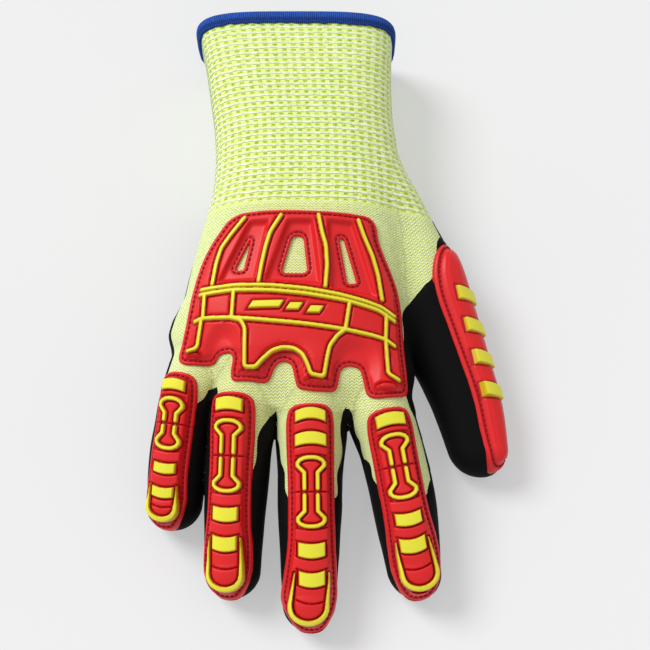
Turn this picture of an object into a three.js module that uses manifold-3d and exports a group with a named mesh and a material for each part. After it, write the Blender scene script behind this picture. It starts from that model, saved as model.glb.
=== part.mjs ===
// An impact glove for the right hand, lying palm down: a knitted shell with a ribbed cuff,
// a dipped palm coating, and moulded rubber guards with raised ribs on the back of the hand,
// on each finger and on the thumb.
// Millimetres. +Z is up, the fingers point to -Y, the cuff opens to +Y and the thumb is at +X.
// The origin is on the surface that the glove lies on, under the middle of the palm.

import * as THREE from "three";
import { mergeVertices } from "three/addons/utils/BufferGeometryUtils.js";
import Module from "manifold-3d";

const wasm = await Module();
wasm.setup();

// Walls and heights, all measured from the outside of the bare knit.
const KNIT_WALL = 1.5;
const GAP = 0.3;
const JOIN_TOLERANCE = 0.1;
const COAT_TOP = 1.0;
const FLANGE_TOP = 1.9;
const LOBE_TOP = 3.4;
const BODY_TOP = 4.8;
const RIB_TOP = 6.0;
const GROOVE_FLOOR = 3.0;
const GROOVE_WIDTH = 1.5;
const GROOVE_HALF_LENGTH = 14;

// The prisms that cut the guards out of the grown digits start just above each guard's frame.
const CUT_START = 0.5;
const CUT_DEPTH = 36;

// The cuff's hem folds round the rim.
const HEM_WIDTH = 5.0;
const HEM_TOP = 1.3;
const HEM_LIP = 0.8;
const RIM_Y = 132;

// How far the coating is dipped: up to this height on the sides, and back to this line.
const DIP_Y = 56;
const TALL = 90;

// The finger roots lie on an arc that falls back on both sides of the middle finger.
const ARC_MIDDLE_X = 12;
const ARC_PER_MM = 0.0078;

// How round a section is: 2 is an ellipse, more is squarer.
const PALM_SQUARE = 2.7;
const DIGIT_SQUARE = 2.25;
const PALM_SIDES = 18;
const DIGIT_SIDES = 10;

// The round tip of a digit has a section at each of these turns, in degrees.
const DIGIT_TURNS = [38, 68];
const PALM_TURNS = [50];

// The middle of a round tip sinks at this part of the slope behind it, and ends in a blunt point.
const TIP_SINK = 0.35;
const TIP_BLUNT = 0.02;

// Sections of the hand and cuff, from the rim to the finger roots. "front" is how far a section
// follows the arc of the finger roots.
const PALM = {
  sides: PALM_SIDES,
  square: PALM_SQUARE,
  nose: 3,
  turns: PALM_TURNS,
  rows: [
    { y: RIM_Y, left: -44.0, right: 42.0, low: 1.8, high: 51.5, front: 0 },
    { y: 104, left: -38.6, right: 41.0, low: 4.8, high: 55.3, front: 0 },
    { y: 70, left: -34.8, right: 42.4, low: 5.0, high: 57.0, front: 0 },
    { y: 32, left: -42.0, right: 45.0, low: -1.0, high: 56.0, front: 0 },
    { y: 8, left: -47.3, right: 45.5, low: -1.5, high: 54.0, front: 0 },
    { y: -20, left: -52.0, right: 47.0, low: -1.0, high: 50.0, front: 0.55 },
    { y: -35, left: -53.0, right: 48.5, low: 1.0, high: 45.5, front: 0.78 },
    { y: -43.5, left: -50.0, right: 45.0, low: 7.0, high: 39.0, front: 0.9 },
  ],
};

// Sections of the digits, from inside the hand to the start of the round tip, and the tip's length.
const DIGITS = {
  little: {
    nose: 9.6,
    rows: [
      { y: -6, left: -48.5, right: -33.0, low: 10.0, high: 38.0 },
      { y: -30, left: -55.6, right: -31.2, low: 5.5, high: 40.0 },
      { y: -54, left: -60.2, right: -37.2, low: 5.0, high: 31.0 },
      { y: -77, left: -61.6, right: -40.3, low: 1.5, high: 22.5 },
    ],
  },
  ring: {
    nose: 10.4,
    rows: [
      { y: -20, left: -32.0, right: -10.0, low: 8.0, high: 48.0 },
      { y: -38, left: -35.3, right: -8.4, low: 6.0, high: 43.0 },
      { y: -70, left: -37.0, right: -12.4, low: 6.0, high: 32.5 },
      { y: -104.6, left: -36.9, right: -15.6, low: 1.5, high: 21.5 },
    ],
  },
  middle: {
    nose: 11,
    rows: [
      { y: -26, left: -6.0, right: 18.0, low: 8.0, high: 48.5 },
      { y: -46, left: -8.0, right: 20.4, low: 6.0, high: 43.0 },
      { y: -80, left: -6.6, right: 18.1, low: 6.3, high: 33.0 },
      { y: -117.2, left: -4.6, right: 15.6, low: 1.5, high: 21.0 },
    ],
  },
  index: {
    nose: 10.4,
    rows: [
      { y: -8, left: 18.0, right: 40.5, low: 9.0, high: 43.0 },
      { y: -42, left: 21.2, right: 49.2, low: 6.0, high: 43.0 },
      { y: -72, left: 31.0, right: 56.4, low: 6.0, high: 33.2 },
      { y: -104.7, left: 38.6, right: 59.0, low: 1.5, high: 21.5 },
    ],
  },
  thumb: {
    nose: 10.4,
    rows: [
      { y: 74, left: 22.0, right: 41.0, low: 14.0, high: 47.0 },
      { y: 52, left: 25.0, right: 54.2, low: 8.0, high: 44.5 },
      { y: 28, left: 31.5, right: 66.5, low: 1.0, high: 39.0 },
      { y: 2, left: 39.0, right: 74.0, low: 0.0, high: 33.6 },
      { y: -28, left: 55.8, right: 82.6, low: 0.0, high: 28.0 },
      { y: -53.5, left: 64.9, right: 86.0, low: 0.5, high: 22.5 },
    ],
  },
};

// The finger guards. Each lies along its finger from "tip", turned by "yaw" about Z, by "roll"
// round the finger, and by "pitch" up to the knuckle. "along" is the distance from the tip.
const GUARDS = {
  little: {
    tip: { x: -53.0, y: -85.8, z: 11 },
    yaw: 7.4,
    roll: -12,
    pitch: 11,
    flange: [
      { along: -1.4, half: 3.4 },
      { along: 3.0, half: 7.0 },
      { along: 9.0, half: 8.6 },
      { along: 23, half: 8.2 },
      { along: 43.6, half: 8.0 },
      { along: 57.0, half: 7.4 },
      { along: 62.6, half: 4.4 },
    ],
    rim: 2.5,
    bars: [
      { name: "bar_1", from: 55.6, to: 60.2, half: 5.1 },
      { name: "bar_2", from: 20.9, to: 25.2, half: 4.6 },
      { name: "bar_3", from: 11.0, to: 15.3, half: 4.5 },
    ],
    bone: { from: 30.6, to: 52.8, bulb: 5.0, waist: 3.1 },
    tipRib: { from: 16.0, to: 1.2, half: 5.6 },
  },
  ring: {
    tip: { x: -27.2, y: -115.0, z: 11 },
    yaw: 3.3,
    roll: -11,
    pitch: 10,
    flange: [
      { along: -1.2, half: 3.6 },
      { along: 3.4, half: 7.8 },
      { along: 10, half: 9.8 },
      { along: 31, half: 8.9 },
      { along: 53, half: 8.8 },
      { along: 76.4, half: 9.2 },
      { along: 82.6, half: 5.4 },
    ],
    rim: 2.7,
    bars: [
      { name: "bar_1", from: 75.3, to: 80.6, half: 5.7 },
      { name: "bar_2", from: 29.8, to: 35.6, half: 5.2 },
      { name: "bar_3", from: 17.8, to: 23.7, half: 5.0 },
    ],
    bone: { from: 41.5, to: 71.8, bulb: 5.6, waist: 3.2 },
    tipRib: { from: 23.0, to: 2.0, half: 6.6 },
  },
  middle: {
    tip: { x: 6.6, y: -128.5, z: 11 },
    yaw: -0.9,
    roll: 2,
    pitch: 9.5,
    flange: [
      { along: -1.2, half: 3.8 },
      { along: 3.4, half: 8.2 },
      { along: 12, half: 11.0 },
      { along: 34.5, half: 9.6 },
      { along: 59, half: 9.3 },
      { along: 84.2, half: 9.6 },
      { along: 90.8, half: 5.8 },
    ],
    rim: 2.8,
    bars: [
      { name: "bar_1", from: 84.6, to: 89.2, half: 6.2 },
      { name: "bar_0", from: 74.4, to: 79.5, half: 6.4 },
      { name: "bar_2", from: 28.4, to: 34.3, half: 5.5 },
      { name: "bar_3", from: 16.8, to: 22.6, half: 5.3 },
    ],
    bone: { from: 40.4, to: 69.9, bulb: 5.9, waist: 3.3 },
    tipRib: { from: 22.2, to: 2.2, half: 7.3 },
  },
  index: {
    tip: { x: 50.8, y: -115.1, z: 11 },
    yaw: -11.1,
    roll: 2,
    pitch: 10.5,
    flange: [
      { along: -1.2, half: 3.7 },
      { along: 3.4, half: 8.0 },
      { along: 12, half: 10.5 },
      { along: 34.5, half: 9.4 },
      { along: 57, half: 9.2 },
      { along: 71.4, half: 9.2 },
      { along: 77.6, half: 5.6 },
    ],
    rim: 2.7,
    bars: [
      { name: "bar_1", from: 70.4, to: 75.6, half: 6.0 },
      { name: "bar_2", from: 29.0, to: 34.1, half: 5.3 },
      { name: "bar_3", from: 17.9, to: 23.6, half: 5.3 },
    ],
    bone: { from: 39.9, to: 67.2, bulb: 5.8, waist: 3.3 },
    tipRib: { from: 22.6, to: 2.2, half: 7.0 },
  },
  thumb: {
    tip: { x: 79.5, y: -62.6, z: 11 },
    yaw: -17.2,
    roll: 42,
    pitch: 4,
    flange: [
      { along: -0.6, half: 4.0 },
      { along: 4.0, half: 7.4 },
      { along: 15, half: 8.9 },
      { along: 36, half: 10.6 },
      { along: 60, half: 11.4 },
      { along: 81, half: 9.8 },
      { along: 93.4, half: 4.8 },
    ],
    rim: 3.2,
    bars: [
      { name: "bar_1", from: 68.0, to: 76.0, half: 5.6 },
      { name: "bar_2", from: 54.0, to: 62.0, half: 5.6 },
      { name: "bar_3", from: 40.0, to: 48.0, half: 5.4 },
      { name: "bar_4", from: 26.0, to: 34.0, half: 5.2 },
    ],
  },
};

// The back guard, seen from above. Its four lobes reach the knuckles.
const BACK_OUTLINE = [
  [-23.3, 37.2], [4.6, 37.5], [30.4, 36.1], [34.2, 26.0], [40.4, 12.4], [44.1, -3.4],
  [45.0, -19.6], [46.4, -32.5], [44.6, -38.2], [32.6, -39.9], [28.6, -36.6], [26.6, -28.2],
  [19.4, -27.3], [17.4, -33.5], [15.4, -37.4], [7.3, -37.4], [1.0, -36.2], [-1.0, -29.4],
  [-5.2, -25.2], [-9.2, -28.6], [-12.2, -33.4], [-20.0, -32.6], [-26.0, -31.8], [-26.2, -25.0],
  [-29.9, -21.4], [-34.0, -24.8], [-38.7, -24.8], [-45.9, -24.5], [-48.4, -19.4], [-45.0, -4.4],
  [-41.9, 10.3], [-36.0, 24.5], [-29.3, 33.9],
];
const BACK_RIM = 3.2;
const BACK_BASE_Z = 30;
const LOBES_FROM = [[-70, -12], [70, -24]];

// Three windows taper towards the cuff. Each has a lowered seat with a hole in its middle.
const WINDOWS = [
  { hole: [[-19.2, 24.2], [-24.6, 12.9], [-21.9, 12.7]],
    seat: [[-19.2, 32.4], [-10.6, 32.4], [-16.6, 6.8], [-32.2, 6.8]] },
  { hole: [[-1.4, 26.1], [2.8, 26.1], [4.7, 10.8], [-5.8, 10.8]],
    seat: [[-3.6, 32.4], [7.2, 32.5], [10.6, 5.0], [-13.2, 6.4]] },
  { hole: [[17.9, 25.3], [19.5, 25.1], [24.8, 7.2], [21.3, 6.8]],
    seat: [[12.6, 32.6], [23.8, 32.0], [33.2, 1.0], [14.0, 3.6]] },
];

// Raised ribs that run from the top of the back guard to the knuckle frame.
const RIB_WIDTH = 1.9;
const BONE_CUT = 0.6;
const BONE_NECK = 5.5;
const BONE_SHOULDER = 2.6;
const BONE_GROOVE = 1.4;
const THUMB_GROOVE = 3;
const BACK_RIBS = [
  [[-21.4, 33.4], [-26.8, 26.9], [-31.0, 20.5], [-33.0, 14.0], [-34.3, 6.6]],
  [[-6.5, 33.8], [-10.5, 26.9], [-12.9, 19.5], [-14.3, 12.5], [-15.1, 6.6]],
  [[9.4, 34.0], [10.9, 26.9], [12.4, 19.5], [12.9, 12.0], [12.3, 4.4]],
  [[25.9, 32.6], [28.6, 25.4], [32.0, 17.0], [34.2, 9.0], [35.4, 0.6]],
];

// The knuckle frame: one connected net of ribs across the knuckles.
const FRAME_WIDTH = 2.0;
const KNUCKLE_FRAME = [
  [[-38.8, 3.4], [-24.5, 4.0], [-10.3, 3.4], [3.8, 2.0], [17.9, -0.4], [28.5, -2.6], [40.2, -6.6]],
  [[-41.2, -7.9], [-26.5, -8.3], [-10.3, -10.0], [3.8, -11.5], [20.0, -13.3], [40.2, -17.4]],
  [[-37.5, 3.4], [-38.1, -7.8]],
  [[-25.4, 4.0], [-26.0, -8.3]],
  [[22.0, -1.4], [20.2, -13.3]],
  [[37.3, -5.8], [36.9, -16.6]],
  [[-38.8, -8.0], [-40.6, -18.6], [-44.0, -19.6]],
  [[-25.4, -8.3], [-21.2, -11.0], [-20.3, -16.0], [-20.7, -27.6], [-16.3, -27.8], [-14.1, -26.0],
    [-9.5, -22.1], [-5.0, -20.8], [-0.4, -21.4], [2.9, -23.8], [5.2, -28.4], [6.8, -31.6],
    [11.4, -32.2], [12.9, -24.9], [14.4, -19.0], [19.6, -13.4]],
  [[36.9, -16.4], [37.6, -29.8], [42.2, -32.4]],
];

// Plain slanted bars on the bare plate between the struts of the knuckle frame.
const PLATE_BARS = [
  { x: -12.0, y: -3.4, length: 13.0 },
  { x: -0.5, y: -4.4, length: 5.5 },
  { x: 8.0, y: -5.6, length: 5.5 },
];
const PLATE_BAR_WIDTH = 3.0;
const PLATE_BAR_LEAN = 1.0;

const PAINTS = {
  knit: new THREE.MeshStandardMaterial({ color: "#b9cf2c", roughness: 0.9, metalness: 0 }),
  hem: new THREE.MeshStandardMaterial({ color: "#27366f", roughness: 0.85, metalness: 0 }),
  coating: new THREE.MeshStandardMaterial({ color: "#1d1d1f", roughness: 0.8, metalness: 0 }),
  guard: new THREE.MeshStandardMaterial({ color: "#b3202c", roughness: 0.5, metalness: 0 }),
  rib: new THREE.MeshStandardMaterial({ color: "#e6cf2e", roughness: 0.5, metalness: 0 }),
};

const glove = new THREE.Group();

// A closed geometry as a solid that can be joined and cut.
function solidOf(geometry) {
  const bare = geometry.clone();
  bare.deleteAttribute("normal");
  bare.deleteAttribute("uv");
  const merged = mergeVertices(bare, 1e-4);
  const vertProperties = new Float32Array(merged.attributes.position.array);
  const triVerts = new Uint32Array(merged.index.array);
  const tolerance = JOIN_TOLERANCE;
  return new wasm.Manifold(new wasm.Mesh({ numProp: 3, vertProperties, triVerts, tolerance }));
}

// The largest of the bodies that a solid falls into.
function mainBody(solid) {
  return solid.decompose().reduce((best, body) => (body.volume() > best.volume() ? body : best));
}

function joined(solids) {
  return solids.reduce((whole, piece) => whole.add(piece));
}

// A solid as a named mesh of the glove.
function addPiece(name, solid, paint) {
  const { vertProperties, triVerts } = solid.getMesh();
  const geometry = new THREE.BufferGeometry();
  geometry.setAttribute("position", new THREE.BufferAttribute(vertProperties, 3));
  geometry.setIndex(new THREE.BufferAttribute(triVerts, 1));
  const mesh = new THREE.Mesh(geometry, paint);
  mesh.name = name;
  glove.add(mesh);
}

// The sections of a tube grown by "grow", with the round tip's sections worked out as a quarter
// ellipse after the last row. The tip keeps the drift of the last two rows.
function grownSections(table, grow, rimExtra) {
  const sections = table.rows.map((row) => ({
    y: row.y - (row.front ?? 0) * grow,
    x: (row.left + row.right) / 2,
    z: (row.low + row.high) / 2,
    halfWidth: (row.right - row.left) / 2 + grow,
    halfHeight: (row.high - row.low) / 2 + grow,
    front: row.front ?? 0,
  }));
  const last = sections.at(-1);
  const before = sections.at(-2);
  const drift = (last.x - before.x) / (last.y - before.y);
  const sink = TIP_SINK * (last.z - before.z) / (last.y - before.y);
  const bareHalf = last.halfWidth - grow;
  const bareHeight = last.halfHeight - grow;
  for (const turn of table.turns ?? DIGIT_TURNS) {
    const forward = Math.sin(THREE.MathUtils.degToRad(turn));
    const size = Math.cos(THREE.MathUtils.degToRad(turn));
    const step = -(table.nose + grow) * forward;
    sections.push({
      y: last.y + step,
      x: last.x + drift * step,
      z: last.z + sink * step,
      halfWidth: (bareHalf + grow) * size,
      halfHeight: (bareHeight + grow) * size,
      front: last.front,
    });
  }
  sections[0].y += rimExtra;
  return sections;
}

// A closed tube through a table's sections: a ball whose parallels are pulled to the sections.
// Nothing of it reaches below the surface that the coated glove lies on.
function tube(table, grow, rimExtra = 0) {
  const sides = table.sides ?? DIGIT_SIDES;
  const power = 2 / (table.square ?? DIGIT_SQUARE);
  const sections = grownSections(table, grow, rimExtra);
  const floor = Math.max(0, COAT_TOP - grow);
  const ball = new THREE.SphereGeometry(1, sides, sections.length + 1);
  const points = ball.getAttribute("position");
  const bent = (value) => Math.sign(value) * Math.abs(value) ** power;
  const place = (index, section, across, up, step) => {
    const x = section.x + section.halfWidth * across;
    const arc = section.front * ARC_PER_MM * (x - ARC_MIDDLE_X) ** 2;
    const z = Math.max(floor, section.z + section.halfHeight * up);
    points.setXYZ(index, x, section.y + arc + step, z);
  };
  const noseStep = -TIP_BLUNT * (table.nose + grow);
  for (let column = 0; column <= sides; column++) {
    const turn = (-2 * Math.PI * (column % sides)) / sides;
    place(column, sections[0], 0, 0, 0);
    sections.forEach((section, row) => {
      const index = (row + 1) * (sides + 1) + column;
      place(index, section, bent(Math.cos(turn)), bent(Math.sin(turn)), 0);
    });
    place((sections.length + 1) * (sides + 1) + column, sections.at(-1), 0, 0, noseStep);
  }
  return solidOf(ball);
}

// The outside of the whole glove at a distance from the bare knit.
const skins = new Map();
function skin(grow, rimExtra = 0) {
  const key = grow + " " + rimExtra;
  if (!skins.has(key)) {
    const digits = Object.values(DIGITS).map((table) => tube(table, grow));
    skins.set(key, joined([tube(PALM, grow, rimExtra), ...digits]));
  }
  return skins.get(key);
}

// An upright prism over an outline of [x, y] points, from z = base to z = base + height.
function prism(outline, base = 0, height = TALL) {
  const shape = new THREE.Shape(outline.map(([x, y]) => new THREE.Vector2(x, y)));
  const geometry = new THREE.ExtrudeGeometry(shape, { depth: height, bevelEnabled: false });
  geometry.translate(0, 0, base);
  return solidOf(geometry);
}

// A closed smooth outline through a few points.
function smoothOutline(points, count) {
  const spots = points.map(([x, y]) => new THREE.Vector3(x, y, 0));
  const curve = new THREE.CatmullRomCurve3(spots, true, "centripetal");
  return curve.getPoints(count).slice(0, -1).map((spot) => [spot.x, spot.y]);
}

// An outline moved outwards by "grow", or inwards where it is negative. Each point moves along
// the mean of the normals of its two sides.
function grownOutline(outline, grow) {
  const shape = outline.map(([x, y]) => new THREE.Vector2(x, y));
  const way = THREE.ShapeUtils.area(shape) > 0 ? 1 : -1;
  return shape.map((spot, index) => {
    const before = shape.at(index - 1);
    const after = shape[(index + 1) % shape.length];
    const along = after.clone().sub(before).normalize();
    return [spot.x + way * grow * along.y, spot.y - way * grow * along.x];
  });
}

// The outline of a rib of even width along a route of [x, y] points.
function routeOutline(route, width) {
  const spots = route.map(([x, y]) => new THREE.Vector2(x, y));
  const sides = [1, -1].map((side) =>
    spots.map((spot, index) => {
      const into = spot.clone().sub(spots[Math.max(index - 1, 0)]).normalize();
      const out = spots[Math.min(index + 1, spots.length - 1)].clone().sub(spot).normalize();
      const along = into.add(out).normalize();
      return [spot.x - (side * width * along.y) / 2, spot.y + (side * width * along.x) / 2];
    }),
  );
  return [...sides[0], ...sides[1].reverse()];
}

// A prism in a finger guard's own frame: x across the digit, y along it, z out of its back.
function guardPrism(guard, outline) {
  const turn = new THREE.Matrix4().makeRotationZ(-THREE.MathUtils.degToRad(guard.yaw));
  turn.multiply(new THREE.Matrix4().makeRotationX(THREE.MathUtils.degToRad(guard.pitch)));
  turn.multiply(new THREE.Matrix4().makeRotationY(THREE.MathUtils.degToRad(guard.roll)));
  turn.setPosition(guard.tip.x, guard.tip.y, guard.tip.z);
  const shape = new THREE.Shape(outline.map(([x, y]) => new THREE.Vector2(x, y)));
  const geometry = new THREE.ExtrudeGeometry(shape, { depth: CUT_DEPTH, bevelEnabled: false });
  geometry.translate(0, 0, CUT_START);
  geometry.applyMatrix4(turn);
  return solidOf(geometry);
}

// Both sides of a guard's flange table as one closed outline.
function flangeOutline(guard, grow) {
  const right = guard.flange.map(({ along, half }) => [half, along]);
  const left = guard.flange.map(({ along, half }) => [-half, along]).reverse();
  return grownOutline(smoothOutline([...right, ...left], 16), grow);
}

// Half of a bone: a rib that outlines a wide bulb at one end and narrows to the waist at the cut.
function boneOutline(bone, upper) {
  const middle = (bone.from + bone.to) / 2;
  const way = upper ? 1 : -1;
  const end = (upper ? bone.to : bone.from) - (way * RIB_WIDTH) / 2;
  const side = [
    [bone.waist, middle + way * BONE_CUT],
    [bone.waist, end - way * BONE_NECK],
    [bone.bulb, end - way * BONE_SHOULDER],
  ];
  const otherSide = side.map(([x, y]) => [-x, y]).reverse();
  return routeOutline([...side, [0, end], ...otherSide], RIB_WIDTH);
}

// A bar across the guard.
function barOutline({ from, to, half }) {
  return [[half, from], [half, to], [-half, to], [-half, from]];
}

// The rib that runs round a fingertip as a U.
function tipRibOutline({ from, to, half }) {
  const low = to + half;
  const bend = [];
  for (const turn of [0, 60, 120, 180]) {
    const angle = THREE.MathUtils.degToRad(turn);
    bend.push([half * Math.cos(angle), low - half * Math.sin(angle)]);
  }
  return routeOutline([[half, from], ...bend, [-half, from]], RIB_WIDTH);
}

// The seat that every guard leaves to the knit under it.
const guardSeat = skin(GAP);

// The outside of one digit and the hand it grows from.
function digitSkin(table, grow) {
  return tube(table, grow).add(tube(PALM, grow));
}

// A guard on a digit: a sewn flange, a raised body with grooves across it, and raised ribs.
function buildDigitGuard(digit) {
  const guard = GUARDS[digit];
  const table = DIGITS[digit];
  const flange = digitSkin(table, FLANGE_TOP).intersect(guardPrism(guard, flangeOutline(guard, 0)));
  const bodyPrism = guardPrism(guard, flangeOutline(guard, -guard.rim));
  let body = digitSkin(table, BODY_TOP).intersect(bodyPrism);
  const cutter = digitSkin(table, GROOVE_FLOOR);
  for (const along of grooves(guard)) {
    const [low, high] = [along - GROOVE_WIDTH / 2, along + GROOVE_WIDTH / 2];
    const reach = GROOVE_HALF_LENGTH;
    const strip = [[-reach, low], [reach, low], [reach, high], [-reach, high]];
    body = body.subtract(guardPrism(guard, strip).subtract(cutter));
  }
  addPiece(digit + "_guard", mainBody(flange.add(body).subtract(guardSeat)), PAINTS.guard);

  const inlay = digitSkin(table, RIB_TOP).subtract(digitSkin(table, BODY_TOP + GAP));
  const addRib = (name, outline) =>
    addPiece(digit + "_" + name, inlay.intersect(guardPrism(guard, outline)), PAINTS.rib);
  guard.bars.forEach((bar) => addRib(bar.name, barOutline(bar)));
  if (guard.bone) {
    addRib("bone_upper", boneOutline(guard.bone, true));
    addRib("bone_lower", boneOutline(guard.bone, false));
  }
  if (guard.tipRib) addRib("tip_rib", tipRibOutline(guard.tipRib));
}

// A finger guard bends at a groove below its bone and at one between its last two bars.
function grooves(guard) {
  if (!guard.bone) return guard.bars.slice(1).map((bar) => bar.to + THUMB_GROOVE);
  const { from } = guard.bone;
  const below = guard.bars.find((bar) => bar.name === "bar_3");
  const above = guard.bars.find((bar) => bar.name === "bar_2");
  return [from - BONE_GROOVE, (above.from + below.to) / 2];
}

// The guard on the back of the hand: a flange with three windows, a raised body that carries
// the ribs, and lower lobes over the knuckles.
function buildBackGuard() {
  const holes = joined(WINDOWS.map(({ hole }) => prism(hole, BACK_BASE_Z)));
  const seats = joined(WINDOWS.map(({ seat }) => prism(seat, BACK_BASE_Z)));
  const inner = prism(grownOutline(BACK_OUTLINE, -BACK_RIM), BACK_BASE_Z);
  const upper = prism([...LOBES_FROM, [70, 60], [-70, 60]]);
  const flange = skin(FLANGE_TOP).intersect(prism(BACK_OUTLINE, BACK_BASE_Z));
  const lobes = skin(LOBE_TOP).intersect(inner);
  const body = skin(BODY_TOP).intersect(inner).intersect(upper).subtract(seats);
  const whole = joined([flange, lobes, body]).subtract(holes).subtract(guardSeat);
  addPiece("back_guard", whole, PAINTS.guard);
}

// The ribs of the back guard, the knuckle frame and the plain bars on its plate.
function buildBackRibs() {
  const onBody = skin(RIB_TOP).subtract(skin(BODY_TOP + GAP));
  BACK_RIBS.forEach((route, index) => {
    const rib = prism(routeOutline(route, RIB_WIDTH), BACK_BASE_Z);
    addPiece("back_rib_" + (index + 1), onBody.intersect(rib), PAINTS.rib);
  });
  const net = KNUCKLE_FRAME.map((route) =>
    prism(routeOutline(route, FRAME_WIDTH), BACK_BASE_Z),
  );
  addPiece("knuckle_frame", onBody.intersect(joined(net)), PAINTS.rib);
  PLATE_BARS.forEach(({ x, y, length }, index) => {
    const half = length / 2;
    const low = y - PLATE_BAR_WIDTH / 2;
    const high = y + PLATE_BAR_WIDTH / 2;
    const lean = PLATE_BAR_LEAN;
    const outline = [
      [x - half - lean, low], [x + half - lean, low], [x + half + lean, high], [x - half + lean, high],
    ];
    const bar = prism(outline, BACK_BASE_Z);
    addPiece("plate_bar_" + (index + 1), onBody.intersect(bar), PAINTS.rib);
  });
}

// The black dipped coating. It covers the palm side, the fingertips and the thumb, and leaves
// out the places under the guards.
const DIP_PROFILE = [
  [DIP_Y, -5], [DIP_Y, 24], [20, 27], [-20, 27], [-60, 24], [-95, 18], [-150, 12], [-150, -5],
];
const DIPPED_TIPS = [
  [[-75, -52], [-46, -62], [-38, -52], [-34, -52], [-30, -82], [-12, -86], [-9, -75],
    [6, -100], [20, -82], [26, -82], [36, -96], [52, -88], [75, -70], [75, -150], [-75, -150]],
  [[44.0, -34], [44.6, -14], [45.6, -4], [48.0, 1], [56.0, 7.4], [60, 29], [66, 40],
    [110, 60], [110, -90], [62, -75]],
];

function buildCoating() {
  const profile = new THREE.Shape(DIP_PROFILE.map(([y, z]) => new THREE.Vector2(y, z)));
  const slab = new THREE.ExtrudeGeometry(profile, { depth: 220, bevelEnabled: false });
  slab.rotateX(Math.PI / 2);
  slab.rotateZ(Math.PI / 2);
  slab.translate(-100, 0, 0);
  const dipped = joined([solidOf(slab), ...DIPPED_TIPS.map((outline) => prism(outline, -5))]);
  let coating = skin(COAT_TOP).subtract(skin(GAP)).intersect(dipped);
  for (const guard of Object.values(GUARDS)) {
    coating = coating.subtract(guardPrism(guard, flangeOutline(guard, GAP)));
  }
  const back = grownOutline(BACK_OUTLINE, GAP);
  addPiece("palm_coating", coating.subtract(prism(back, BACK_BASE_Z)), PAINTS.coating);
}

// The knitted shell, open at the cuff and hollow to the end of each finger.
function buildShell() {
  addPiece("knit_shell", skin(0).subtract(skin(-KNIT_WALL, 20)), PAINTS.knit);
}

// The hem folds round the rim of the cuff, outside and inside.
function buildHem() {
  const inside = -KNIT_WALL - GAP;
  const outer = tube(PALM, HEM_TOP, GAP + HEM_LIP);
  const opening = tube(PALM, inside - HEM_LIP, 20);
  const wall = tube(PALM, GAP, GAP).subtract(tube(PALM, inside, 20));
  const front = RIM_Y - HEM_WIDTH;
  const end = prism([[-80, front], [80, front], [80, RIM_Y + 20], [-80, RIM_Y + 20]], -5);
  addPiece("cuff_hem", outer.subtract(opening).intersect(end).subtract(wall), PAINTS.hem);
}

buildShell();
buildHem();
buildCoating();
buildBackGuard();
buildBackRibs();
Object.keys(GUARDS).forEach(buildDigitGuard);

export default glove;
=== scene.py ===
"""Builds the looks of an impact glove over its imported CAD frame.

The glove lies palm down: +Z is up, the fingers point to -Y, the cuff opens to +Y and the thumb is
at +X. Tables and sums here are in millimetres, and the meshes are written in metres.

Every piece is draped on one skin. The skin is where glove_field is zero: a distance from the
nearest of six tubes, the hand with its cuff and the five digits.
"""

import math

import bpy
import numpy as np
from bpy.props import FloatProperty, FloatVectorProperty, PointerProperty
from mathutils import Matrix, Vector

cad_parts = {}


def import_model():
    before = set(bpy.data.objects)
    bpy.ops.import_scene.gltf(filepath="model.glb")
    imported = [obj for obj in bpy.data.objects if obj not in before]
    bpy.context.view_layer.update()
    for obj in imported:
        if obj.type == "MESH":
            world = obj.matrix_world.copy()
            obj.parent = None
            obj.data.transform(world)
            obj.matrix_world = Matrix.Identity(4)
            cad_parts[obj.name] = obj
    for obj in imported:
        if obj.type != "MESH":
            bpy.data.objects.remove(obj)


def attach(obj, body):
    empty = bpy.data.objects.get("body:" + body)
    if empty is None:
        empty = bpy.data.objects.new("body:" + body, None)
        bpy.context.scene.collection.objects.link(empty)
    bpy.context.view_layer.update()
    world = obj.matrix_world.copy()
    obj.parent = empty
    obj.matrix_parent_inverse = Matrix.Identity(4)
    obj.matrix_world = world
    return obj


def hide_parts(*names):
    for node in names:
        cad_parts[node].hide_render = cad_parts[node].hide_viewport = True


bl_info = {
    "name": "Impact Glove",
    "version": (1, 0, 0),
    "blender": (4, 5, 0),
    "location": "View3D > Sidebar > Glove",
    "description": "Builds a knitted impact glove with a dipped palm and moulded rubber guards",
    "category": "Add Mesh",
}

MM = 0.001

# The glove's skin

RIM_Y = 132.0
FLOOR_SKIN = 1.0
FLOOR_BLEND = 4.0
ARC_MIDDLE_X = 12.0
ARC_PER_MM = 0.0078

# Each row is a section: y, left, right, low, high, and for the hand how far the section follows
# the arc of the finger roots. The first row is the one nearest the fingertips.
HAND = {
    "square": 2.7,
    "rim_square": 3.7,
    "nose": 3.0,
    "root": 1e6,
    "rows": np.array([
        [-43.5, -50.0, 45.0, 7.0, 39.0, 0.9],
        [-35.0, -53.0, 48.5, 1.0, 45.5, 0.78],
        [-20.0, -52.0, 47.0, -1.0, 50.0, 0.55],
        [8.0, -47.3, 45.5, -1.5, 54.0, 0.0],
        [32.0, -42.0, 45.0, -1.0, 56.0, 0.0],
        [50.0, -37.0, 44.0, 1.0, 57.0, 0.0],
        [66.0, -35.2, 42.6, 4.0, 57.0, 0.0],
        [82.0, -35.8, 41.8, 5.5, 56.5, 0.0],
        [100.0, -38.2, 41.0, 5.0, 55.5, 0.0],
        [118.0, -41.0, 41.2, 3.5, 53.5, 0.0],
        [RIM_Y, -44.0, 42.0, 1.8, 51.5, 0.0],
    ]),
}
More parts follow.
